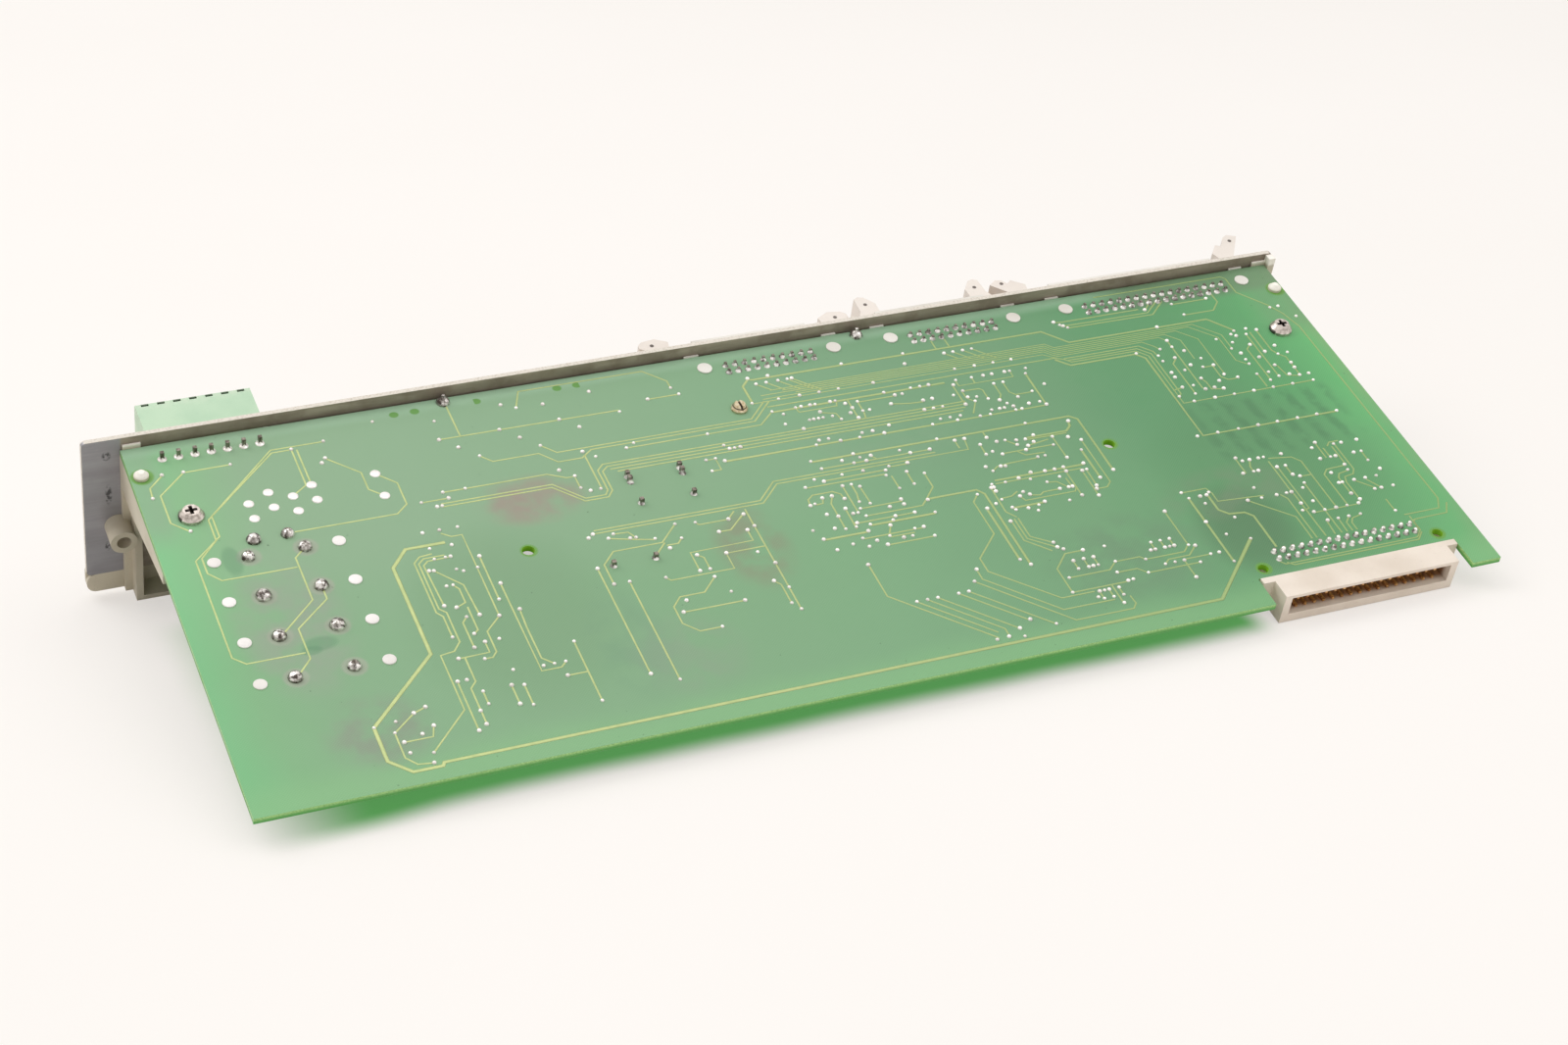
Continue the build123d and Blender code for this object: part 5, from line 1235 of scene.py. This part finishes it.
class BOARD_OT_lever_eyes(Piece, bpy.types.Operator):
    """Set dark pieces in the levers' heads as painted shade in their pits"""
    bl_idname = "board.lever_eyes"
    bl_label = "Lever eyes"

    def execute(self, context):
        dark = moulded("pit_shadow", tint(112, 104, 98), tint(84, 76, 70), 0.6, 0.2)
        for joint in frame["joints"]:
            lever = joint["name"].replace("_swing", "")
            inward, along = lever_eyes.get(lever, lever_eyes["short"])
            end = 1 if lever.endswith("right") else -1
            turn = math.radians(-joint["range_deg"][0])
            pivot = card_place(Vector(joint["pos_m"]))
            tops = [card_place(v.co) for v in frame["nodes"][lever].data.vertices]
            top = max(p.z for p in tops if (p.xy - pivot.xy).length > 4.0)
            across = Vector((end * math.cos(turn), -math.sin(turn)))
            outward = Vector((end * math.sin(turn), math.cos(turn)))
            spot = pivot.xy - across * inward + outward * along
            # A dark disc set on the lever's head as painted shade of its pit
            eye = turned("eye", (
                (0.4, -0.3), (0.4, 0.0), (0.52, 0.03), (0.5, 0.08), (0.3, 0.09), (0.16, 0.07)), 16)
            eye.location = (spot.x * MM, spot.y * MM, top * MM)
            lay(eye, "eye_" + lever, dark, joint["child"])
        return {"FINISHED"}


class BOARD_PT_panel(bpy.types.Panel):
    """Lists the card's pieces"""
    bl_label = "Interface board"
    bl_idname = "BOARD_PT_panel"
    bl_space_type = "VIEW_3D"
    bl_region_type = "UI"
    bl_category = "Interface board"

    def draw(self, context):
        for settings in (context.scene.board_artwork, context.scene.board_solder,
                         context.scene.board_mouldings, context.scene.board_stage):
            for key in settings.__annotations__:
                self.layout.prop(settings, key)
        for operator in OPERATORS:
            self.layout.operator(operator.bl_idname)


GROUPS = {
    "board_artwork": ArtworkSettings,
    "board_solder": SolderSettings,
    "board_mouldings": MouldingSettings,
    "board_stage": StageSettings,
}
OPERATORS = (
    BOARD_OT_stage, BOARD_OT_mouldings, BOARD_OT_laminate, BOARD_OT_tracks,
    BOARD_OT_solder, BOARD_OT_pegs, BOARD_OT_lever_eyes,
)


def register():
    for group in GROUPS.values():
        bpy.utils.register_class(group)
    for name, group in GROUPS.items():
        setattr(bpy.types.Scene, name, bpy.props.PointerProperty(type=group))
    for operator in OPERATORS:
        bpy.utils.register_class(operator)
    bpy.utils.register_class(BOARD_PT_panel)


def unregister():
    bpy.utils.unregister_class(BOARD_PT_panel)
    for operator in reversed(OPERATORS):
        bpy.utils.unregister_class(operator)
    for name in GROUPS:
        delattr(bpy.types.Scene, name)
    for group in GROUPS.values():
        bpy.utils.unregister_class(group)


def main():
    register()
    for operator in OPERATORS:
        group, name = operator.bl_idname.split(".")
        getattr(getattr(bpy.ops, group), name)()


if __name__ == "__main__":
    main()
